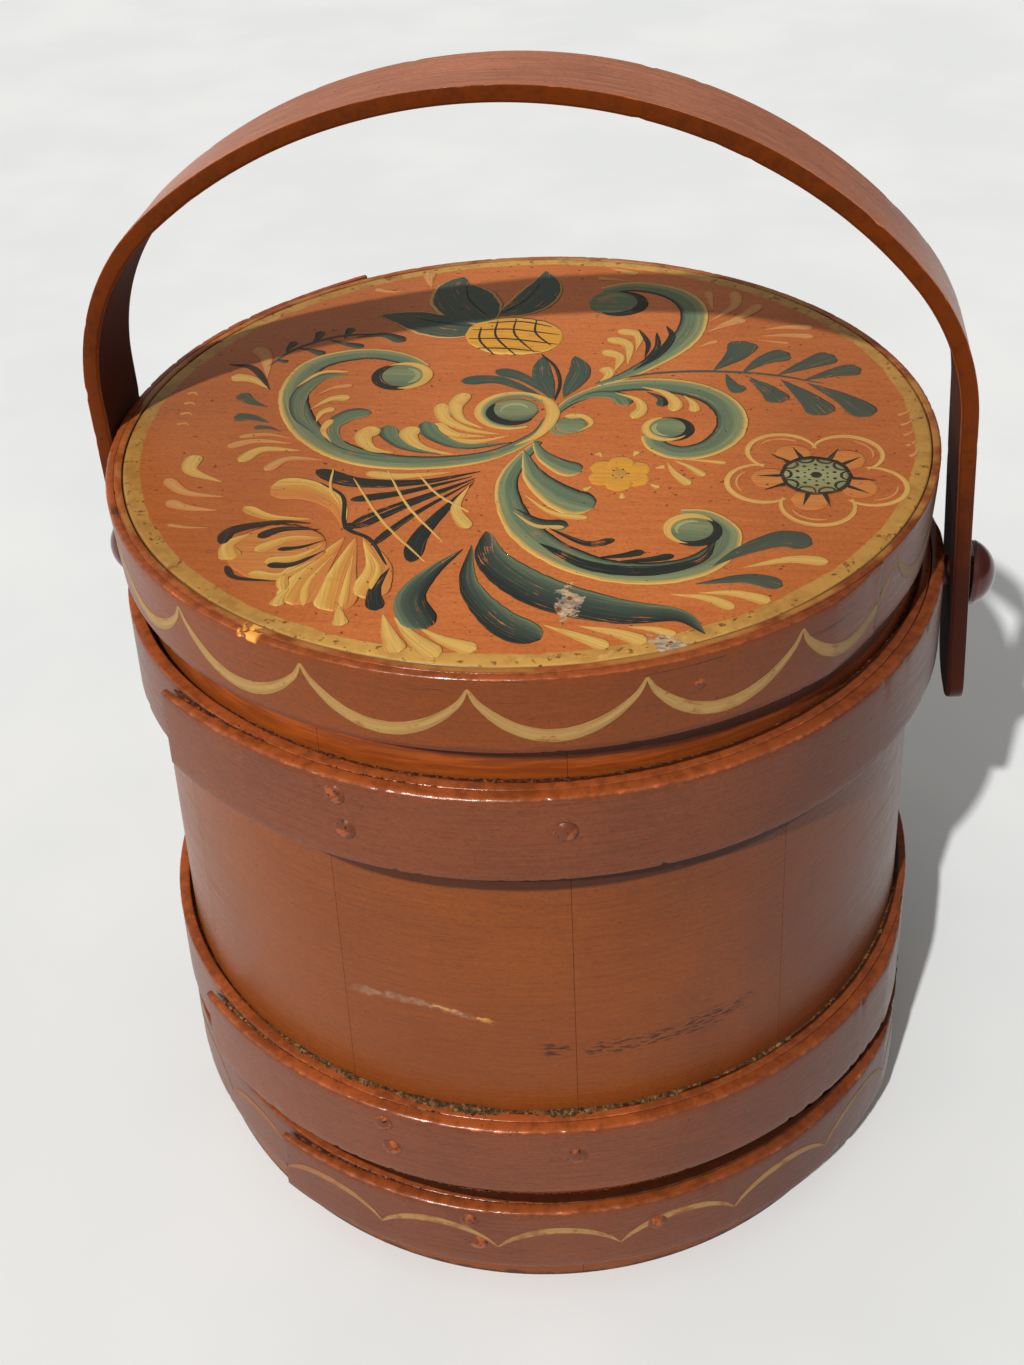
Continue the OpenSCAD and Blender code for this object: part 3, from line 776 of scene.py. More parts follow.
class Painting:
    """Strokes gathered as one mesh of thin crowned ribbons in flat (x, y, height) coordinates."""

    def __init__(self, seed):
        self.points, self.faces, self.colours, self.uvs = [], [], [], []
        self.seed = seed
        self.count = 0

    def stroke(self, path, width, tones, press, layer=1):
        if isinstance(tones[0], float):
            tones = [(-1, tones), (1, tones)]
        rows, run = curve_through(path, min(1.2, max(0.3, width / 6)))
        ahead = np.gradient(rows[:, :2], axis=0)
        ahead /= np.maximum(np.hypot(*ahead.T), 1e-9)[:, None]
        base = len(self.points)
        self.count += 1
        ground = (layer * 0.05 + 0.02) * MM
        shades = [tone_at(tones, side) for side in ACROSS]
        for (x, y), (dx, dy), along in zip(rows, ahead, run):
            half = max(0.05, width / 2 * press(along / run[-1])) * (1 + 0.06 * wander(along * 0.4, self.count * 3.3, self.seed))
            nx, ny = dy, -dx
            for side, shade in zip(ACROSS, shades):
                thick = PAINT_T * (1 - 0.7 * side ** 6)
                self.points.append(((x + nx * side * half) * MM, (y + ny * side * half) * MM, ground + thick))
                self.colours.append(shade)
                self.uvs.append((along * MM + self.count * 0.37, side * half * MM))
            for side in (0.9, -0.9):
                self.points.append(((x + nx * side * half) * MM, (y + ny * side * half) * MM, -0.12 * MM))
                self.colours.append(shades[0])
                self.uvs.append((along * MM, side * half * MM))
        self.faces += [tuple(i + base for i in face) for face in sweep(len(rows), False, len(ACROSS) + 2)]

    def comma(self, path, width, tones, layer=2):
        """A stroke from its round head to its drawn-out tail."""
        self.stroke(path, width, tones, comma_press, layer)

    def leaf(self, path, width, tones, layer=2):
        self.stroke(path, width, tones, leaf_press, layer)

    def line(self, path, width, tones, layer=3):
        self.stroke(path, width, tones, line_press, layer)

    def scroll(self, path, width, tones, layer=1):
        self.stroke(path, width, tones, scroll_press, layer)

    def dot(self, x, y, r, tones, layer=3):
        self.stroke([(x - r, y), (x - r / 2, y), (x, y), (x + r / 2, y), (x + r, y)], 2 * r, tones, dot_press, layer)

    def bulb(self, x, y, r, shade_at, rim_at, rim=True):
        """The round end of a scroll: sage, with a dark crescent on one side and mostly a cream rim on the other."""
        self.dot(x, y, r, [(-1, GREEN), (-0.3, SAGE if rim else GREEN), (0.6, GREEN), (1, GREEN)], 2)
        self.leaf(on_circle(x, y, 0.62 * r, rim_at - 80, rim_at + 60), 0.22 * r, PALE_SAGE if rim else SAGE, 3)
        self.leaf(on_circle(x, y, 0.95 * r, shade_at - 105, shade_at + 105), 0.42 * r, BLACK_GREEN, 3)
        if rim:
            self.leaf(on_circle(x, y, 0.98 * r, rim_at - 110, rim_at + 110), 0.4 * r, CREAM_STROKE, 4)

    def mesh(self, name, paint, wrap=None):
        points = [wrap(*p) for p in self.points] if wrap else self.points
        return make_mesh(name, points, self.faces, [paint], colours=self.colours, uvs=self.uvs)


def surface_of(piece):
    return BVHTree.FromObject(piece, bpy.context.evaluated_depsgraph_get())


def onto_lid(board):
    tree = surface_of(board)

    def wrap(x, y, height):
        hit = tree.ray_cast(Vector((x, y, LID_TOP + 5 * MM)), Vector((0, 0, -1)))[0]
        return (x, y, (hit.z if hit else LID_TOP) + height)

    return wrap


KHAKI_STROKE = [(-1, KHAKI), (0, KHAKI_PALE), (1, KHAKI)]
FAINT_STROKE = [(-1, HOOP_RED), (-0.6, FAINT_OCHRE), (0.6, FAINT_OCHRE), (1, HOOP_RED)]
CREAM_STROKE = [(-1, OCHRE), (-0.5, CREAM), (0.5, CREAM), (1, OCHRE)]
FLOWER_LINE = [(-1, FADED_CREAM), (-0.5, CREAM), (0.5, CREAM), (1, FADED_CREAM)]
FADED_STROKE = [(-1, LID_RED), (-0.4, FADED_CREAM), (0.5, FADED_CREAM), (1, LID_RED)]
SCROLL_TONES = [(-1, CREAM), (-0.84, CREAM), (-0.6, SAGE), (-0.3, SAGE), (0, GREEN), (0.6, GREEN), (0.84, DEEP_GREEN),
                (0.9, BLACK_GREEN), (1, BLACK_GREEN)]
DARK_LEAF = [(-1, DEEP_GREEN), (-0.4, DEEP_GREEN), (0.5, BLACK_GREEN), (1, BLACK_GREEN)]
HOOK_TONES = [(-1, SAGE), (-0.6, GREEN), (0.3, GREEN), (0.84, DEEP_GREEN), (1, BLACK_GREEN)]
SPRAY_LEAF = [(-1, LEAF_GREY), (0, LEAF_GREY), (1, DEEP_GREEN)]
EDGED_LEAF = [(-1, FADED_CREAM), (-0.9, FADED_CREAM), (-0.84, LEAF_GREY), (0.3, LEAF_GREY), (0.84, DEEP_GREEN), (0.9, FADED_CREAM),
              (1, FADED_CREAM)]
TEAL_LEAF = [(-1, GREEN), (-0.84, GREEN), (-0.5, LEAF_GREY), (0.84, BLACK_GREEN), (1, BLACK_GREEN)]
PETAL_BLEND = [(-1, PETAL_PALE), (-0.8, PETAL_PALE), (-0.3, PETAL), (0.3, BLUSH), (1, BLUSH)]


def flip(tones):
    return [(-side, colour) for side, colour in reversed(tones)]


def scrolls(art):
    """The four scrolls that leave the hub, each with its round end and the hooks and commas inside it."""
    art.scroll([(7, 2), (4, -9), (-8, -21), (-25, -26), (-42, -25), (-56, -18), (-67, -6), (-74, 10), (-75, 24), (-72, 34),
                (-64, 40), (-54, 42), (-44, 39), (-37, 33)], 9.5, SCROLL_TONES)
    art.bulb(-42.5, 27, 8.5, 215, 20)
    art.leaf([(-60, 27), (-68, 25), (-72.5, 14), (-70, 0), (-62, -11)], 5.5, HOOK_TONES, 2)
    art.leaf([(-60, 29), (-69, 28), (-75, 18)], 1.8, CREAM_STROKE, 3)
    art.comma([(-47.5, 3), (-54, 1), (-58, -7), (-53, -17), (-38, -24)], 7, HOOK_TONES, 2)
    art.comma([(-59, -2), (-60, -9), (-56, -16)], 3, CREAM_STROKE, 3)
    art.comma([(-43.5, -6), (-47, -12), (-43, -19), (-36, -21)], 7, CREAM_STROKE, 3)
    art.comma([(-41, -5), (-38.5, -12), (-32, -18), (-22, -21)], 6, HOOK_TONES, 3)
    art.comma([(-32, -5), (-33.5, -11), (-28, -18), (-18, -21)], 6.5, CREAM_STROKE, 3)
    art.comma([(-30, -2), (-26, -10), (-16, -16), (-2, -13)], 6, HOOK_TONES, 3)
    art.comma([(-56, 12), (-62, 11), (-67, 4)], 4, CREAM_STROKE)
    art.comma([(-59.5, 5), (-63, 2), (-63.5, -4)], 3.4, CREAM_STROKE)
    art.comma([(-57, 20), (-63, 18), (-67, 13)], 2.6, FADED_STROKE)

    art.scroll([(9, 5), (14, 14), (24, 22), (36, 25), (48, 23), (57, 17), (62, 7), (61.5, -4), (56, -13), (48, -16.5), (41, -13),
                (38.5, -6)], 9.5, SCROLL_TONES)
    art.bulb(43.5, -2.5, 6.8, 350, 215)
    art.comma([(30.5, 11), (27, 17), (19, 17), (12, 10)], 6, HOOK_TONES, 2)
    art.comma([(32.5, 3), (35, 9), (33, 15), (26, 19)], 4.6, CREAM_STROKE, 3)
    art.comma([(44.5, 8), (45, 14), (41, 20), (34, 23)], 4.6, CREAM_STROKE, 3)
    art.comma([(41, 11), (40.5, 16), (36, 20)], 3.6, DARK_LEAF, 3)
    art.comma([(51, 8), (50.5, 13), (47.5, 18)], 3.8, CREAM_STROKE, 3)

    art.scroll([(20, 24), (29, 31), (38, 42), (45, 54), (48.5, 66), (48.5, 79), (44, 89), (36, 95), (26, 97), (17, 93)], 9.5,
               flip(SCROLL_TONES))
    art.bulb(22, 83.5, 9.5, 345, 130, rim=False)
    art.leaf([(40, 66), (42, 58), (38, 45), (31, 34)], 3, BLACK_GREEN, 3)
    art.leaf([(37, 61), (37.5, 50), (33, 39)], 2, BLACK_GREEN, 3)
    art.leaf([(31, 63), (34.5, 53), (34, 43)], 1.8, BLACK_GREEN, 3)
    for head, bend, tail in (((24, 62), (31, 59), (31, 48)), ((21, 56), (28, 52), (29, 38)), ((20, 47), (26, 43), (25, 33)),
                             ((21.5, 36), (23.5, 31), (21, 26))):
        art.comma([head, bend, tail], 5, CREAM_STROKE)

    art.scroll([(6, -12), (1, -25), (-0.5, -37), (3, -51), (9, -62), (18, -71), (30, -77), (43, -78), (54, -74), (60.5, -66),
                (61.5, -57), (56, -50.5), (49, -50)], 10, flip(SCROLL_TONES))
    art.bulb(52.5, -57, 7, 330, 150)
    art.leaf([(12, -66), (26, -75.5), (42, -77), (55, -71), (59, -60)], 4.6, BLACK_GREEN, 2)
    art.comma([(20, -29), (14, -26), (8, -20), (4, -11)], 8.5, SCROLL_TONES, 2)
    art.comma([(25, -48), (16, -43), (7, -32), (2, -17)], 13, SCROLL_TONES, 2)
    art.comma([(24, -53), (14, -51), (5, -42)], 2.6, CREAM_STROKE, 3)
    art.comma([(19, -57), (11, -56), (3, -49)], 5.5, TEAL_LEAF, 2)
    art.comma([(18, -58), (10, -57.5), (3, -51)], 2, CREAM_STROKE, 3)
    for x, y, reach in ((32, -63, 19), (40, -68, 13), (48, -69.5, 16)):
        art.comma([(x, y), (x - reach * 0.4, y - 2.2), (x - reach, y + (5 if x < 35 else -4))], 2.8, BLACK_GREEN, 3)


def hub(art):
    """The spiral where the scrolls meet, its second round end, and the leaves and commas that fan out from it."""
    art.scroll(on_circle(-3.5, 6, 10.3, -60, -330, 14), 4.2, [(-1, CREAM), (-0.2, CREAM), (0.3, SAGE), (1, GREEN)], 2)
    art.dot(-3.5, 6, 7.4, [(-1, SAGE), (0.2, SAGE), (1, DEEP_GREEN)], 3)
    art.leaf(on_circle(-3.5, 6, 7.6, 150, 320), 3.2, BLACK_GREEN, 4)
    art.leaf(on_circle(-3.5, 6, 4.2, 20, 200), 1.6, PALE_SAGE, 4)
    art.leaf([(-1, 17.5), (6, 12), (8.4, 3), (5.5, -8), (-1, -15)], 4.4, CREAM_STROKE, 4)
    art.dot(14.5, -2, 5, [(-1, GREEN), (0.3, SAGE), (1, SAGE)], 2)
    art.comma([(12, 3), (17.5, 3.4), (20.5, -1), (17, -6)], 3.2, CREAM_STROKE, 3)
    art.leaf([(9, 1), (9.5, -6), (14, -8)], 2, SAGE, 3)
    art.comma([(-23, 24.5), (-12, 26), (-2, 20), (6, 13)], 6, SPRAY_LEAF)
    art.comma([(-13, 32.5), (-4, 28), (3, 20), (7, 13.5)], 5.5, SPRAY_LEAF)
    art.leaf([(1, 42), (2.5, 29), (7.5, 14)], 6.6, SPRAY_LEAF)
    art.line([(0.5, 44), (6, 35), (8.5, 24), (8, 13)], 1.2, BLACK_GREEN, 3)
    art.leaf([(11.5, 43), (14, 32), (10.5, 15)], 7.2, SPRAY_LEAF)
    for path, width in (([(-20, 17), (-22, 8), (-19, 0), (-12, -5)], 6), ([(-27, 10), (-24, 0), (-16, -6), (-6, -8.5)], 5.5),
                        ([(-27, -3), (-20, -9), (-10, -10)], 5), ([(-24, -12), (-13, -13), (-3, -9)], 4)):
        art.comma(path, width, CREAM_STROKE)


def hatched_flower(art):
    """A yellow pointed oval with crossed curved hatching, three broad edged leaves behind it."""
    art.leaf([(-20, 66), (-29, 80), (-35, 94), (-34, 103)], 25, EDGED_LEAF, 1)
    art.leaf([(-17, 72), (-8, 82), (-4, 96), (-5, 109)], 16, EDGED_LEAF, 1)
    art.leaf([(-21, 60), (-33, 62), (-46, 68), (-58, 71)], 17, EDGED_LEAF, 1)
    for path in ([(-20, 70), (-29, 84), (-32, 96)], [(-16, 74), (-9, 86), (-6, 98)], [(-24, 63), (-36, 66), (-46, 69)]):
        art.line(path, 0.9, BLACK_GREEN, 2)
    art.stroke([(-26.5, 57), (-20, 57.5), (-10, 57), (0, 55.5), (6.5, 55)], 28, [(-1, CREAM), (-0.9, CREAM), (-0.84, YELLOW),
               (0.84, YELLOW), (0.9, CREAM), (1, CREAM)], dot_press, 2)
    for path in ([(-22, 63), (-21, 53), (-15, 43)], [(-17, 68), (-16, 56), (-8, 43)], [(-11, 70), (-10, 58), (-2, 45)],
                 [(-4, 69), (-3, 59), (3, 50)], [(-20, 66), (-9, 67.5), (2, 64)], [(-25, 60.5), (-11, 61.5), (5, 58)],
                 [(-25, 54), (-12, 54.5), (5, 51)], [(-21, 47.5), (-11, 47.5), (0, 45.5)]):
        art.line(path, 0.8, BLACK_GREEN, 4)


def flowers(art):
    """The open five-petal flower and the small yellow one."""
    x, y = 86, -27
    for i in range(5):
        turn = math.radians(54 + 72 * i)
        px, py = x + 15.5 * math.cos(turn), y + 15.5 * math.sin(turn)
        facing = math.degrees(turn)
        near = turn - 0.15
        art.dot(x + 13 * math.cos(near), y + 13 * math.sin(near), 5.4, [(-1, LID_RED), (-0.4, BLUSH), (0.5, BLUSH), (1, LID_RED)], 1)
        art.line(on_circle(px, py, 10, facing - 112, facing + 112), 1.7, FLOWER_LINE, 2)
        art.line(on_circle(px, py, 7.4, facing - 70, facing + 20), 0.8, FADED_STROKE, 2)
        for lean in (-14, 12):
            far = turn + math.radians(lean)
            art.comma([(x + r * math.cos(far), y + r * math.sin(far)) for r in (9.5, 12, 16.5)], 1.5, BLACK_GREEN, 3)
    art.dot(x, y, 10.2, BLACK_GREEN, 3)
    art.dot(x, y, 9, [(-1, SAGE), (0, PALE_SAGE), (1, SAGE)], 4)
    for i in range(10):
        around = 36 * i
        turn = math.radians(around)
        art.line(on_circle(x + 9.3 * math.cos(turn), y + 9.3 * math.sin(turn), 2.4, around + 95, around + 265), 0.9, BLACK_GREEN, 5)
        for reach, r in ((5.4, 0.6), (3.3, 0.4)):
            turn = math.radians(around + 18)
            art.dot(x + reach * math.cos(turn), y + reach * math.sin(turn), r, BLACK_GREEN, 5)
    art.dot(x, y, 1.7, BLACK_GREEN, 5)

    x, y = 31, -29
    for i in range(6):
        turn = math.radians(30 + 60 * i)
        art.dot(x + 5.4 * math.cos(turn), y + 5.4 * math.sin(turn), 4.2, [(-1, OCHRE), (-0.5, YELLOW), (1, YELLOW)], 1)
    for i in range(7):
        turn = math.radians(20 + 360 / 7 * i)
        c, s = math.cos(turn), math.sin(turn)
        art.comma([(x + 13.5 * c, y + 13.5 * s), (x + 12 * c, y + 12 * s), (x + 10.4 * c, y + 10.4 * s)], 2.4, CREAM_STROKE, 1)
    art.dot(x, y, 2.2, OCHRE, 2)
    for i in range(5):
        turn = math.radians(72 * i)
        art.dot(x + 2.4 * math.cos(turn), y + 2.4 * math.sin(turn), 0.35, BROWN_LINE, 3)
    for path, width in (([(51, -34), (46.5, -28), (44, -22)], 3.6), ([(55, -29), (50.5, -24), (46, -21)], 3.2),
                        ([(61, -21.5), (54, -20.5), (48, -20)], 1.8)):
        art.comma(path, width, CREAM_STROKE)


def tulip(art):
    """A tulip lying on its side: a striped bud, blended petals and the thin lines round them."""
    for path, width in (([(-68, -42), (-57, -43), (-47, -50), (-42, -62)], 12), ([(-48, -98), (-46, -84), (-41, -66)], 12),
                        ([(-37, -100), (-38, -84), (-38, -66)], 12), ([(-30, -94), (-29, -80), (-36, -66)], 11)):
        art.comma(path, width, PETAL_BLEND, 1)
    art.dot(-58, -74, 13.5, [(-1, LID_RED), (-0.6, BLUSH), (0.6, BLUSH), (1, LID_RED)], 1)
    for path, width in (([(-67, -41), (-58, -40.5), (-50, -45)], 2.4), ([(-73, -53), (-64, -57.5), (-52, -58)], 4),
                        ([(-69, -79), (-72, -72), (-67, -66)], 6.5), ([(-64, -74.5), (-56, -68), (-47, -67)], 4.6),
                        ([(-60, -79.5), (-52, -77), (-46, -70)], 4.6), ([(-63, -85), (-54, -85.5), (-46, -77)], 4.4),
                        ([(-52, -92), (-53, -84), (-46, -73)], 3.4), ([(-45, -98), (-46, -88), (-42, -74)], 2.4),
                        ([(-35, -98), (-36, -86), (-37, -74)], 2.6), ([(-29, -90), (-29, -80), (-34, -71)], 2.4)):
        art.comma(path, width, [(-1, PETAL), (-0.6, PETAL_PALE), (0.6, PETAL), (1, OCHRE)], 2)
    for path, width in (([(-74, -72), (-73, -65), (-61, -60), (-52, -60)], 4.2), ([(-65, -68), (-59, -63.5), (-49, -63)], 3.6),
                        ([(-58, -73.5), (-52, -72), (-46, -68)], 2), ([(-59, -81), (-52, -80), (-45, -73)], 2.8),
                        ([(-70, -82), (-66, -87), (-55, -88)], 2)):
        art.comma(path, width, BLACK_GREEN, 3)
    art.line([(-54, -39), (-46, -46), (-42, -61), (-34, -67), (-27, -79)], 1.3, BLACK_GREEN, 3)
    art.dot(-41, -61, 1.8, BLACK_GREEN, 3)
    art.comma([(-26, -99), (-28, -90), (-26, -80)], 5, BLACK_GREEN)
    art.comma([(-52, -99), (-52, -95), (-50.5, -91)], 4, CREAM_STROKE)
    art.comma([(-33.5, -106), (-35, -101), (-36, -97)], 4.4, CREAM_STROKE)


def lattice(art):
    """Dark strokes fanning from the left scroll, crossed by thin cream ones."""
    for path, width in (([(-57, -32), (-44, -38), (-26, -37), (-9, -30)], 6), ([(-43.5, -47.5), (-30, -43), (-11, -33)], 3.6),
                        ([(-40.5, -61.5), (-31, -52), (-10, -34)], 5.4), ([(-33, -70), (-25, -55), (-10, -35)], 2.6),
                        ([(-21, -77), (-20, -62), (-10, -36)], 5.6)):
        art.comma(path, width, BLACK_GREEN, 2)
    for start, end in (((-52, -31), (-46, -50)), ((-45, -36), (-17, -77)), ((-36, -31), (-14, -67)), ((-27, -32), (-9, -52))):
        middle = ((start[0] + end[0]) / 2 - 1.5, (start[1] + end[1]) / 2 - 1)
        art.line([start, middle, end], 0.8, CREAM, 4)
    art.comma([(-42, -33), (-32, -34), (-17, -31)], 4.2, CREAM_STROKE, 3)
    art.comma([(-8, -60), (-13, -50), (-11, -38)], 4.6, CREAM_STROKE, 3)


def sprays(art):
    """The leaf sprays at the right and the left, the big leaves at the front and the loose strokes near the ring."""
    art.line([(23, 26), (36, 32), (54, 34.5), (74, 33), (90, 28)], 1.4, LEAF_GREY, 1)
    for path, width in (([(66, 56), (63, 46), (56, 35)], 10), ([(80, 48), (72, 43), (65, 34)], 8), ([(94, 47), (86, 41), (76, 33)], 8.5),
                        ([(102, 38), (95, 36), (84, 30)], 7.5), ([(65, 21), (62, 26), (60, 33)], 5.4), ([(77, 15), (73, 23), (66, 32)], 8),
                        ([(90, 8), (85, 18), (77, 30)], 9.5), ([(103, 8), (96, 18), (85, 28)], 9.5)):
        art.comma(path, width, SPRAY_LEAF)
    art.line([(-88, 31), (-82, 44), (-70, 54), (-56, 57)], 1.2, DEEP_GREEN, 1)
    for path, width in (([(-46, 51.5), (-54, 56), (-63, 54)], 5), ([(-66, 61), (-66.5, 57), (-67, 53)], 3.4),
                        ([(-59, 47), (-66, 49), (-72, 52)], 3.6), ([(-76, 58), (-76, 53), (-77, 48)], 3.4),
                        ([(-71, 41), (-77, 44), (-81, 45)], 3.6), ([(-83, 50), (-84, 45), (-84, 41)], 3), ([(-82, 35), (-85, 36), (-87, 35)], 2.6)):
        art.comma(path, width, DARK_LEAF, 1)
    art.leaf([(-101, 33), (-92, 30), (-83, 16)], 2.6, BLACK_GREEN, 1)
    art.comma([(-95, 45), (-90, 38), (-86, 24)], 6, FADED_STROKE, 1)
    art.comma([(-98, 24), (-91, 23), (-84, 17)], 5.4, CREAM_STROKE, 1)
    for path, width in (([(-92, 13), (-87, 8), (-81, 5)], 5), ([(-90, -2), (-84, -2), (-78, -5)], 5), ([(-82, -8), (-77, -8), (-73, -10)], 2.6)):
        art.comma(path, width, SPRAY_LEAF, 1)
    for path, width in (([(-85, -14), (-77, -12), (-69, -14)], 2.6), ([(-87, -20), (-79, -16), (-68, -17)], 4),
                        ([(-81, -28.5), (-76, -21), (-64, -21)], 5), ([(-72, -33), (-67, -26), (-56, -26)], 4.4),
                        ([(-95, -25), (-94, -34), (-83, -40)], 6), ([(-100, -39), (-92, -46), (-80, -48)], 4.4),
                        ([(-96, -51), (-89, -54), (-80, -55)], 4.4), ([(-92, -63), (-86, -64), (-80, -64)], 1.6)):
        art.comma(path, width, CREAM_STROKE if width > 4.5 else FADED_STROKE, 1)
    art.comma([(-12, -106), (-18, -94), (-15, -82), (-8, -70)], 10, TEAL_LEAF)
    art.comma([(17, -108), (6, -101), (-4, -86), (-6, -68)], 10.5, flip(TEAL_LEAF))
    art.leaf([(-3, -61), (1, -75), (15, -88), (34, -95), (50, -96), (57, -103)], 13, TEAL_LEAF)
    for path, width in (([(84, -62), (76, -60), (66, -66), (58, -74)], 8.4), ([(76, -81.5), (67, -79), (54, -82)], 5.6)):
        art.comma(path, width, SPRAY_LEAF)
    for path, width in (([(88, -70), (78, -69.5), (66, -74)], 4.6), ([(73, -88.5), (64, -85.5), (55, -86)], 4.4),
                        ([(64, -92), (57, -88), (48, -87)], 4), ([(-17, -116), (-21, -108), (-24, -100)], 6),
                        ([(-7, -117), (-15, -109), (-21, -101)], 6.4), ([(2, -113.5), (-7, -110), (-14, -105)], 5.4),
                        ([(34, -110), (26, -106), (17, -102)], 4.6), ([(43, -107.5), (35, -104), (26, -102)], 5), ([(50, -104), (44, -102), (38, -101.5)], 3.6)):
        art.comma(path, width, CREAM_STROKE, 1)
    for path, width in (([(62, 94), (62, 82), (54, 70)], 5), ([(71, 84), (66, 76), (56, 66)], 4.6), ([(53, 94), (54, 86), (55, 78)], 3.4),
                        ([(66, 72), (60, 68), (53, 62)], 3.6), ([(88, 67), (80, 67), (72, 65)], 4), ([(88, 60), (80, 61), (71, 60)], 4),
                        ([(80, 55), (75, 56), (70, 57)], 1.6), ([(57, 56), (54, 54), (51, 51)], 2.4), ([(-47, 107), (-46, 100), (-44, 94)], 5),
                        ([(-64, 92), (-59, 90), (-54, 90)], 3.4), ([(28, 107), (23, 110), (18, 112)], 4.4), ([(14, 104), (20, 103), (25, 101)], 3.6)):
        art.comma(path, width, FADED_STROKE, 1)
    for i in range(5):
        art.comma([(111 + 0.4 * i, 9 - 6 * i), (113.4 + 0.2 * i, 10.5 - 6 * i), (115.5, 13 - 6 * i)], 1.5, FADED_STROKE, 1)
    for i in range(4):
        art.comma([(-109 + 0.8 * i, 12 - 6.5 * i), (-107 + i, 13 - 6.5 * i), (-105 + i, 11 - 6.5 * i)], 1.6, FADED_STROKE, 1)


def lid_ornament(board, paint):
    """The lid's scrolls, flowers and leaves, laid out as on the lid and painted with plain folk strokes."""
    art = Painting(1)
    for motif in (scrolls, hub, hatched_flower, flowers, tulip, lattice, sprays):
        motif(art)
    piece = art.mesh("lid_ornament", paint, onto_lid(board))
    return settle(piece, "lid", "painted_lid")


# Borders that repeat round a strip, made with Geometry Nodes

def repeat_round(name):
    """Node tree: copies one painted motif round a strip and lays it on the strip's outer face."""
    tree = bpy.data.node_groups.new(name, "GeometryNodeTree")
    for title, kind, side in (("Geometry", "NodeSocketGeometry", "INPUT"), ("Copies", "NodeSocketInt", "INPUT"),
                              ("First Turn", "NodeSocketFloat", "INPUT"), ("Turn Step", "NodeSocketFloat", "INPUT"),
                              ("Strip", "NodeSocketObject", "INPUT"), ("Paint", "NodeSocketMaterial", "INPUT"),
                              ("Geometry", "NodeSocketGeometry", "OUTPUT")):
        tree.interface.new_socket(name=title, in_out=side, socket_type=kind)
    new, link = tree.nodes.new, tree.links.new

    def maths(operation, a, b=None):
        made = new("ShaderNodeMath")
        made.operation = operation
        for socket, value in ((made.inputs[0], a), (made.inputs[1], b)):
            if isinstance(value, bpy.types.NodeSocket):
                link(value, socket)
            elif value is not None:
                socket.default_value = value
        return made.outputs[0]

    inlet, outlet = new("NodeGroupInput"), new("NodeGroupOutput")
    row = new("GeometryNodeMeshLine")
    link(inlet.outputs["Copies"], row.inputs["Count"])
    start, step = new("ShaderNodeCombineXYZ"), new("ShaderNodeCombineXYZ")
    link(inlet.outputs["First Turn"], start.inputs[0])
    link(inlet.outputs["Turn Step"], step.inputs[0])
    link(start.outputs[0], row.inputs["Start Location"])
    link(step.outputs[0], row.inputs["Offset"])
    copies = new("GeometryNodeInstanceOnPoints")
    link(row.outputs[0], copies.inputs["Points"])
    link(inlet.outputs["Geometry"], copies.inputs["Instance"])
    whole = new("GeometryNodeRealizeInstances")
    link(copies.outputs[0], whole.inputs[0])
    here = new("GeometryNodeInputPosition")
    apart = new("ShaderNodeSeparateXYZ")
    link(here.outputs[0], apart.inputs[0])
    turn, height, proud = apart.outputs
    out = new("ShaderNodeCombineXYZ")
    link(maths("COSINE", turn), out.inputs[0])
    link(maths("SINE", turn), out.inputs[1])
    far = new("ShaderNodeVectorMath")
    far.operation = "SCALE"
    link(out.outputs[0], far.inputs[0])
    far.inputs["Scale"].default_value = 0.16
    level = new("ShaderNodeCombineXYZ")
    link(height, level.inputs[2])
    source = new("ShaderNodeVectorMath")
    link(far.outputs[0], source.inputs[0])
    link(level.outputs[0], source.inputs[1])
    inward = new("ShaderNodeVectorMath")
    inward.operation = "SCALE"
    link(out.outputs[0], inward.inputs[0])
    inward.inputs["Scale"].default_value = -1.0
    strip = new("GeometryNodeObjectInfo")
    link(inlet.outputs["Strip"], strip.inputs[0])
    ray = new("GeometryNodeRaycast")
    link(strip.outputs["Geometry"], ray.inputs["Target Geometry"])
    link(source.outputs[0], ray.inputs["Source Position"])
    link(inward.outputs[0], ray.inputs["Ray Direction"])
    radius = maths("ADD", maths("SUBTRACT", 0.16, ray.outputs["Hit Distance"]), proud)
    round_it = new("ShaderNodeVectorMath")
    round_it.operation = "SCALE"
    link(out.outputs[0], round_it.inputs[0])
    link(radius, round_it.inputs["Scale"])
    final = new("ShaderNodeVectorMath")
    link(round_it.outputs[0], final.inputs[0])
    link(level.outputs[0], final.inputs[1])
    lay = new("GeometryNodeSetPosition")
    link(whole.outputs[0], lay.inputs["Geometry"])
    link(final.outputs[0], lay.inputs["Position"])
    paint = new("GeometryNodeSetMaterial")
    link(lay.outputs[0], paint.inputs["Geometry"])
    link(inlet.outputs["Paint"], paint.inputs["Material"])
    link(paint.outputs[0], outlet.inputs[0])
    return tree


def border(name, art, copies, first_turn, strip, paint, body, slot):
    """One motif (turn as its x, height as its y) repeated round a strip."""
    tree = bpy.data.node_groups.get("repeat_round") or repeat_round("repeat_round")
    piece = grown(name, art.mesh(name + "_motif", paint), tree, {
        "Copies": copies, "First Turn": first_turn, "Turn Step": 2 * math.pi / copies, "Strip": strip, "Paint": paint})
    return settle(piece, body, slot)


def swag_press(t):
    return 0.14 + 0.86 * max(0, math.sin(math.pi * t ** 0.9)) ** 0.9


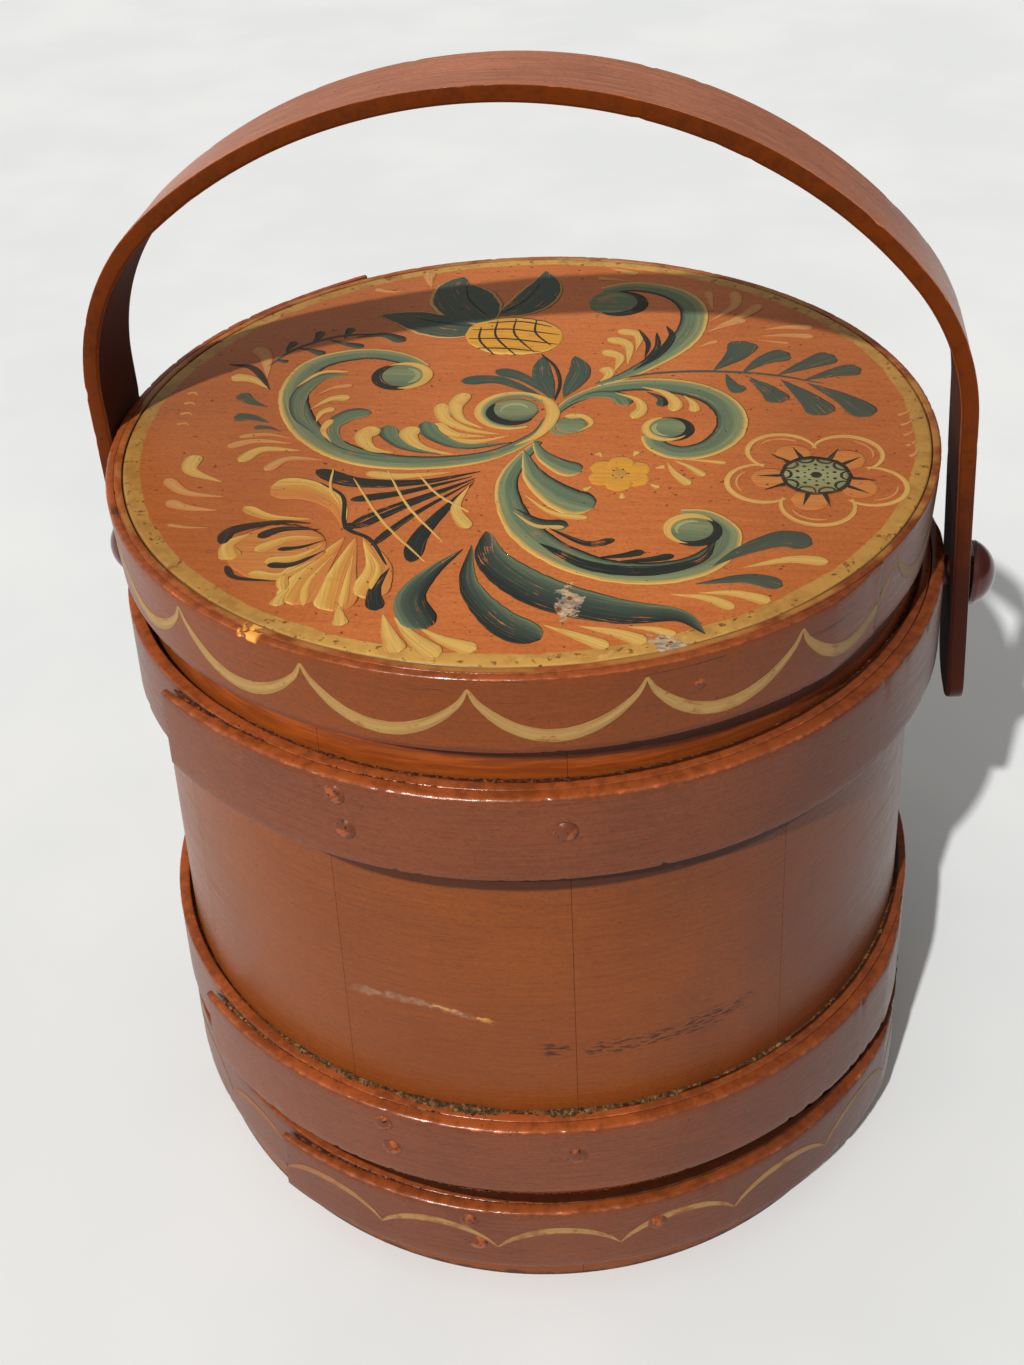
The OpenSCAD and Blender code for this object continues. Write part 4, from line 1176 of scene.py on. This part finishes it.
def rim_swags(rim, paint):
    """Eighteen hanging swags, thick at their lows, with cusps between them."""
    art = Painting(7)
    r = RIM_IN / MM + 2 * RIM_T / MM
    half = math.pi / 18 * r
    path = [(-half, 247.4), (-half * 0.88, 242.6), (-half * 0.6, 236.8), (-half * 0.3, 233.6), (0, 232.7), (half * 0.3, 233.9),
            (half * 0.6, 237.2), (half * 0.88, 242.6), (half, 247.4)]
    art.stroke(path, 4.3, KHAKI_STROKE, swag_press, 0)
    art.points = [(x / (r * MM), y, z) for x, y, z in art.points]
    return border("rim_swags", art, 18, math.radians(270.5 + 10), rim, paint, "lid", "painted_rim")


def hoop_arches(hoop, paint):
    """Twenty-two low arches, faint, standing on the bottom hoop."""
    art = Painting(8)
    r = FOOT_R / MM + 8 - 2
    half = math.pi / 22 * r
    path = [(-half, 26.6), (-half * 0.8, 30.6), (-half * 0.45, 34.4), (0, 36), (half * 0.45, 34.6), (half * 0.8, 30.8), (half, 26.6)]
    art.stroke(path, 3.6, FAINT_STROKE, swag_press, 0)
    art.points = [(x / (r * MM), y, z) for x, y, z in art.points]
    return border("bottom_hoop_arches", art, 22, math.radians(270 + 180 / 22), hoop, paint, "bucket", "painted_hoops")


# Finishes of the pieces

def lid_marks(f, here, colour):
    """Lid: painted shade toward its left and right sides, then the places where the paint has flaked off."""
    return flaked(f, here, painted_side_shade(f, here, colour, 0.36))


def gold_ring(f, here, colour):
    """The ochre ring at the board's edge, then soot specks."""
    x, y, z = f.split(here)
    radius = f.math("SQRT", f.math("ADD", f.math("MULTIPLY", x, x), f.math("MULTIPLY", y, y)))
    ragged = f.math("ADD", radius, f.math("MULTIPLY", f.math("SUBTRACT", f.noise(here, 110, 4), 0.5), 2.2 * MM))
    ring = f.window(ragged, LID_R - 5.2 * MM, LID_R - 4.7 * MM)
    mottled = f.noise(here, 130, 5, 0.65)
    tone = f.mix(f.window(mottled, 0.34, 0.6), paint_colour(176, 130, 66), GOLD)
    tone = f.mix(f.window(f.noise(here, 320, 4, 0.65), 0.58, 0.66), tone, paint_colour(126, 84, 42))
    tone = f.mix(f.math("MULTIPLY", f.window(f.noise(here, 200, 3, 0.6), 0.6, 0.7), 0.5), tone, CREAM)
    scuffed = f.window(f.noise(here, 160, 4, 0.65), 0.64, 0.7)
    out = f.mix(ring, colour, f.mix(scuffed, tone, paint_colour(156, 88, 50)))
    specks = f.window(f.noise(here, 520, 2, 0.5), 0.69, 0.74)
    out = f.mix(f.math("MULTIPLY", specks, 0.75), out, SOOT)
    edge = f.window(f.math("ADD", radius, f.math("MULTIPLY", mottled, 0.5 * MM)), LID_R - 0.2 * MM, LID_R + 0.1 * MM)
    return f.mix(f.math("MULTIPLY", edge, 0.8), out, GRIME)


def along_line(f, value, centre, half, soft):
    """1 within half of a centre line, falling to 0 over a soft width."""
    off = f.math("ABSOLUTE", f.math("SUBTRACT", value, centre))
    return f.window(off, half, half + soft, 1.0, 0.0)


def stave_marks(f, here, colour):
    """Staves: darker towards the foot, with a painted shadow along the very foot, the rubbed band under the lid, one
    long scratch and a few dark scuffs.
    """
    length, z, radius = f.round_the_box(here)
    rough = f.noise(here, 330, 4, 0.65)
    low_down = f.window(z, 40 * MM, 190 * MM, 1.0, 0.0)
    out = f.mix(f.math("MULTIPLY", low_down, 0.5), colour, BRICK_DARK)
    chips = f.window(f.math("SUBTRACT", f.noise(here, 240, 4, 0.6), f.math("MULTIPLY", z, 14.0)), 0.55, 0.59)
    out = f.mix(f.math("MULTIPLY", chips, 0.8), out, GRIME)
    # Painted shadow along the foot, where the staves meet the floor.
    foot_shadow = f.window(f.math("ADD", z, f.math("MULTIPLY", f.noise(here, 190, 4, 0.6), 5 * MM)), 3.2 * MM, 4.2 * MM, 1.0, 0.0)
    out = f.mix(f.math("MULTIPLY", foot_shadow, 0.8), out, paint_colour(54, 30, 18))
    arched = f.math("MULTIPLY", f.math("POWER", f.math("ADD", length, 26 * MM), 2.0), -6.5)
    ragged = f.math("ADD", f.math("ADD", arched, 128.1 * MM), f.math("MULTIPLY", f.math("SUBTRACT", rough, 0.5), 6.5 * MM))
    greyed = f.math("MULTIPLY", along_line(f, z, ragged, 0.5 * MM, 1.3 * MM), along_line(f, length, -24 * MM, 12 * MM, 14 * MM))
    out = f.mix(f.math("MULTIPLY", greyed, f.window(f.noise(here, 520, 3, 0.6), 0.36, 0.6, 0.15, 0.6)), out, paint_colour(146, 116, 96))
    bared = f.math("MULTIPLY", along_line(f, z, ragged, 0.25 * MM, 0.5 * MM), along_line(f, length, -9 * MM, 7 * MM, 5 * MM))
    out = f.mix(f.math("MULTIPLY", bared, f.window(rough, 0.36, 0.56, 0.0, 0.55)), out, GOLD_CHIP)
    for at, height, half in ((21 * MM, 112 * MM, 2 * MM), (52 * MM, 111 * MM, 20 * MM), (76 * MM, 113 * MM, 9 * MM)):
        patch = f.math("MULTIPLY", along_line(f, length, at, half, 5 * MM), along_line(f, z, height, 1.5 * MM, 3 * MM))
        smudges = f.window(f.noise(f.stretch(f.join(length, z, 0.0), 240, 1150, 1), 1.0, 2, 0.5), 0.51, 0.57)
        out = f.mix(f.math("MULTIPLY", f.math("MULTIPLY", patch, smudges), 0.75), out, SOOT)
    top = f.window(z, 213 * MM, 218 * MM)
    streaked = f.noise(f.stretch(f.join(length, z, radius), 40, 500, 1), 1.0, 4, 0.6)
    band = f.mix(f.window(streaked, 0.4, 0.62), paint_colour(122, 54, 14), paint_colour(158, 74, 20))
    return f.mix(f.math("MULTIPLY", top, 0.85), out, band)


def shaded_under(f, here, colour):
    """Staves: a painted shadow close under each hoop and the rim, broader at the right."""
    length, z, radius = f.round_the_box(here)
    out = colour
    ends = f.window(length, 130 * MM, 260 * MM, 1.0, 0.0)
    uneven = f.math("MULTIPLY", f.noise(here, 70, 4, 0.6), 1.2 * MM)
    for edge, least, most, begins, full in (("top_hoop", 4.4, 10.8, -110, -20), ("middle_hoop", 6.6, 11.6, -70, 100),
                                            ("lid_rim", 3.6, 8.6, -70, 100)):
        broad = f.math("MULTIPLY", f.window(length, begins * MM, full * MM), ends)
        tall = f.math("ADD", f.blend(broad, least * MM, most * MM), uneven)
        below = f.math("SUBTRACT", low(edge).z, z)
        near = f.math("MULTIPLY", f.window(below, -0.2 * MM, 0.0), f.window(f.math("SUBTRACT", tall, below), -0.3 * MM, 1.0 * MM))
        out = f.mix(f.math("MULTIPLY", near, 0.82), out, paint_colour(50, 22, 12))
    return out


def hoop_marks(f, here, colour):
    """Hoops: a dark line along the foot of their top face, partly dirt in the crevice and partly painted shade, and a
    broader painted shadow of the middle hoop on the bottom hoop's top face; both broaden toward the right. The bottom
    one is a little darker all over."""
    length, z, radius = f.round_the_box(here)
    out_from_staves = f.math("ADD", f.math("SUBTRACT", radius, FOOT_R), f.math("MULTIPLY", z, STAVE_LEAN))
    bottom_top = high("bottom_hoop").z
    near_bottom = along_line(f, z, bottom_top, 1.0 * MM, 0.5 * MM)
    upper = f.window(length, -60 * MM, 60 * MM, 0.6 * MM, 1.5 * MM)
    middle_hoop_shadow_reach = f.window(length, -70 * MM, 60 * MM, 1.6 * MM, 4.2 * MM)
    reach = f.blend(near_bottom, upper, middle_hoop_shadow_reach)
    reach = f.math("ADD", reach, f.math("MULTIPLY", f.noise(here, 160, 4, 0.6), 0.8 * MM))
    # Painted shade with some dirt along the crevice, and the painted shadow of the middle hoop on the bottom hoop.
    dark = f.window(f.math("SUBTRACT", reach, out_from_staves), 0.1 * MM, 0.6 * MM)
    low_down = f.window(z, bottom_top, bottom_top + 4 * MM, 0.13, 0.0)
    out = f.mix(low_down, colour, SOOT)
    return f.mix(f.math("MULTIPLY", f.math("MULTIPLY", dark, f.attribute("worn")), 0.88), out, paint_colour(38, 18, 11))


def rim_marks(f, here, colour):
    """Rim: fine cracks along the grain and a golden chip on its top corner at the left front."""
    length, z, radius = f.round_the_box(here)
    cracks = f.noise(f.stretch(f.join(length, z, 0.0), 22, 700, 1), 1.0, 3, 0.6)
    out = f.mix(f.math("MULTIPLY", f.window(cracks, 0.66, 0.7), 0.65), colour, SOOT)
    low_edge = f.window(f.math("ADD", z, f.math("MULTIPLY", f.noise(here, 90, 3), 2 * MM)), 229.0 * MM, 230.2 * MM, 1.0, 0.0)
    out = f.mix(f.math("MULTIPLY", low_edge, 0.5), out, paint_colour(86, 40, 20))
    inner_top = f.math("MULTIPLY", f.window(radius, RIM_IN + 1.4 * MM, RIM_IN + 2.2 * MM, 1.0, 0.0), f.window(z, 249.4 * MM, 249.9 * MM))
    out = f.mix(f.math("MULTIPLY", inner_top, f.window(f.noise(here, 60, 4, 0.6), 0.42, 0.6, 0.0, 0.75)), out, paint_colour(172, 122, 62))
    spot = f.math("MULTIPLY", along_line(f, length, RIM_CHIP, 2.6 * MM, 1.8 * MM), f.window(z, 248.6 * MM, 249.4 * MM))
    return f.mix(f.math("MULTIPLY", spot, f.window(f.noise(here, 330, 3, 0.6), 0.42, 0.5)), out, GOLD_CHIP)


def strap_marks(f, here, colour):
    """Strap: fine lines of grain run along its outer face, and darker patches here and there."""
    grain = f.noise(f.stretch(f.add("ShaderNodeTexCoord", output=2), 16, 1500, 1), 1.0, 4, 0.65)
    out = f.mix(f.math("MULTIPLY", f.window(grain, 0.56, 0.7), 0.55), colour, paint_colour(96, 56, 40))
    return f.mix(f.math("MULTIPLY", f.window(f.noise(here, 45, 4, 0.65), 0.5, 0.66), 0.3), out, STRAP_DARK)


def strap_shade(f, here, colour, roughness):
    """Strap: its inner side is dull and painted dark as shade, and its tails are painted dark all round as shade below
    the lid.
    """
    x, y, z = f.split(here)
    within = f.attribute("inside")
    # Painted shade on the strap's inner side.
    out = f.mix(f.math("MULTIPLY", within, 0.95), colour, STRAP_INSIDE_SHADE)
    # Painted shade on the tails, below the level of the lid.
    tail = f.window(f.math("ADD", z, f.math("MULTIPLY", f.noise(here, 40, 4, 0.6), 24 * MM)), 212 * MM, 268 * MM, 1.0, 0.0)
    f.dull(f.window(f.attribute("worn"), 0.2, 0.8, USUAL_SHINE, 0.08))
    return f.mix(f.math("MULTIPLY", tail, 0.85), out, paint_colour(46, 18, 12)), f.blend(within, roughness, 0.85)


def dress(node, material):
    shown = nodes[node]
    shown.data.materials.clear()
    shown.data.materials.append(material)


stave_paint = brushed_paint("stave_paint", BRICK, BRICK_DARK, extra=stave_marks, top_marks=shaded_under, inside=bare_inside)
hoop_paint = brushed_paint("hoop_paint", HOOP_RED, HOOP_DARK, edge=RUBBED, top_marks=hoop_marks)
rim_paint = brushed_paint("rim_paint", RIM_RED, BRICK_DARK, edge=RUBBED, top_marks=rim_marks)
lid_paint = brushed_paint("lid_paint", LID_RED, LID_DARK, along="x", extra=gold_ring, top_marks=lid_marks, streaks=0.3)
strap_paint = brushed_paint("strap_paint", STRAP_RED, STRAP_DARK, edge=STRAP_EDGE, along="uv", extra=strap_marks, inside=strap_shade)
nail_finish = nail_paint()
peg_finish = dark_varnish()
dirt = old_dirt("packed_dirt", paint_colour(52, 36, 22), GRIME, paint_colour(140, 106, 62))
red_dirt = old_dirt("packed_red_dirt", paint_colour(46, 22, 14), paint_colour(88, 44, 24), paint_colour(130, 74, 44))
lid_stroke_paint = ornament_paint("ornament_paint", LID_RED, 0.12)
rim_stroke_paint = ornament_paint("swag_paint", RIM_RED, 0.3, 0.6)
hoop_stroke_paint = ornament_paint("arch_paint", HOOP_RED, 0.95, 0.4, 0.62)

def hump(degrees, centre, spread):
    return math.exp(-((degrees - centre) / spread) ** 2)


def top_stand_off(degrees):
    return 1.6 * MM * hump(degrees % 360, 209, 19)


def middle_stand_off(degrees):
    return 0.9 * MM * hump(degrees % 360, 206, 20)


def hoop_with_dirt(node, lap_az, lap_span, spring, stand_off, crevice, ledge, seed, dirt):
    """A hoop, the dirt packed between it and the staves, and the dirt under its lap's start. crevice and ledge are how
    fat the first is in general and how much fatter at the front."""
    hoop = hoop_wood(node, lap_az, lap_span, seed, hoop_paint, spring, stand_off)
    top = high(node).z
    stave_r = FOOT_R - STAVE_LEAN * top
    dirt_bead(node + "_crevice_dirt", 90, 360, lambda az: stave_r + 0.3 * MM + 0.5 * stand_off(az),
              lambda az: top - 0.5 * MM - 2 * stand_off(az), lambda az: crevice + ledge * hump(az % 360, 262, 34), 1.3, seed + 3, dirt)

    def gap(az):
        return max(0.0, 1 - (az - lap_az) / 24) ** 2

    dirt_bead(node + "_lap_dirt", lap_az + 0.5, 44, lambda az: stave_r + HOOP_T + 0.9 * MM * gap(az) + stand_off(az),
              lambda az: top - 0.5 * MM - 1.5 * MM * gap(az), lambda az: 0.55 * MM + 0.9 * MM * gap(az), 1.0, seed + 4, dirt)
    return hoop


hoop_with_dirt("top_hoop", 224, 151, 2.1 * MM, top_stand_off, 0.5 * MM, 0.45 * MM, 11, red_dirt)
hoop_with_dirt("middle_hoop", 221.7, 126, 2.0 * MM, middle_stand_off, 0.8 * MM, 1.1 * MM, 16, dirt)
bottom_hoop = hoop_with_dirt("bottom_hoop", 236.9, 112, 1.8 * MM, lambda az: 0.0, 0.5 * MM, 0.2 * MM, 21, red_dirt)
rim = rim_wood(rim_paint)
board = lid_wood(lid_paint)
strap = strap_wood(strap_paint)
lid_ornament(board, lid_stroke_paint)
rim_swags(rim, rim_stroke_paint)
hoop_arches(bottom_hoop, hoop_stroke_paint)

for node in nodes:
    if node.startswith("stave") or node == "bottom_board":
        dress(node, stave_paint)
    elif node.endswith("nails"):
        dress(node, nail_finish)
    elif node.endswith("peg"):
        dress(node, peg_finish)


# Camera, light and floor

def place_camera():
    lens = bpy.data.cameras.new("camera")
    lens.lens = 39.41
    lens.sensor_width = 36
    seen = bpy.data.objects.new("camera", lens)
    right = Vector((0.99129, 0.12486, -0.042)).normalized()
    ahead = Vector((-0.12348, 0.76963, -0.62644)).normalized()
    up = right.cross(ahead)
    turned = Matrix((right, up, -ahead)).transposed()
    seen.matrix_world = Matrix.Translation((0.0558, -0.3973, 0.4720)) @ turned.to_4x4()
    bpy.context.scene.collection.objects.link(seen)
    bpy.context.scene.camera = seen


def place_light():
    sun = bpy.data.lights.new("sun", "SUN")
    sun.energy = 3.0
    sun.angle = math.radians(1.3)
    sun.color = (1, 0.97, 0.93)
    hung = bpy.data.objects.new("sun", sun)
    hung.rotation_euler = Vector((0.36, 0.92, -1.0)).to_track_quat("-Z", "Y").to_euler()
    bpy.context.scene.collection.objects.link(hung)
    world = bpy.data.worlds.new("studio")
    world.use_nodes = True
    tree = world.node_tree
    sky = tree.nodes["Background"]
    sky.inputs[0].default_value = (1.0, 0.95, 0.9, 1)
    way = tree.nodes.new("ShaderNodeTexCoord")
    facing = tree.nodes.new("ShaderNodeVectorMath")
    facing.operation = "DOT_PRODUCT"
    facing.inputs[1].default_value = (-0.88, -0.35, 0.32)
    tree.links.new(way.outputs["Generated"], facing.inputs[0])
    level = tree.nodes.new("ShaderNodeMapRange")
    for socket, value in ((1, -1.0), (2, 1.0), (3, 0.06), (4, 0.6)):
        level.inputs[socket].default_value = value
    tree.links.new(facing.outputs["Value"], level.inputs[0])
    tree.links.new(level.outputs[0], sky.inputs[1])
    bpy.context.scene.world = world


def lay_floor():
    f = Finish("floor_white")
    here = f.place()
    tone = f.mix(f.window(f.noise(here, 6, 3), 0.3, 0.7), (0.74, 0.78, 0.8), (0.79, 0.82, 0.84))
    material = f.finish(tone, 0.9)
    reach = 3.0
    corners = [(-reach, -reach, 0), (reach, -reach, 0), (reach, reach, 0), (-reach, reach, 0)]
    mesh = bpy.data.meshes.new("floor")
    mesh.from_pydata(corners, [], [(0, 1, 2, 3)])
    mesh.materials.append(material)
    floor = bpy.data.objects.new("floor", mesh)
    bpy.context.scene.collection.objects.link(floor)


place_camera()
place_light()
lay_floor()
bpy.context.scene.view_settings.view_transform = "Standard"
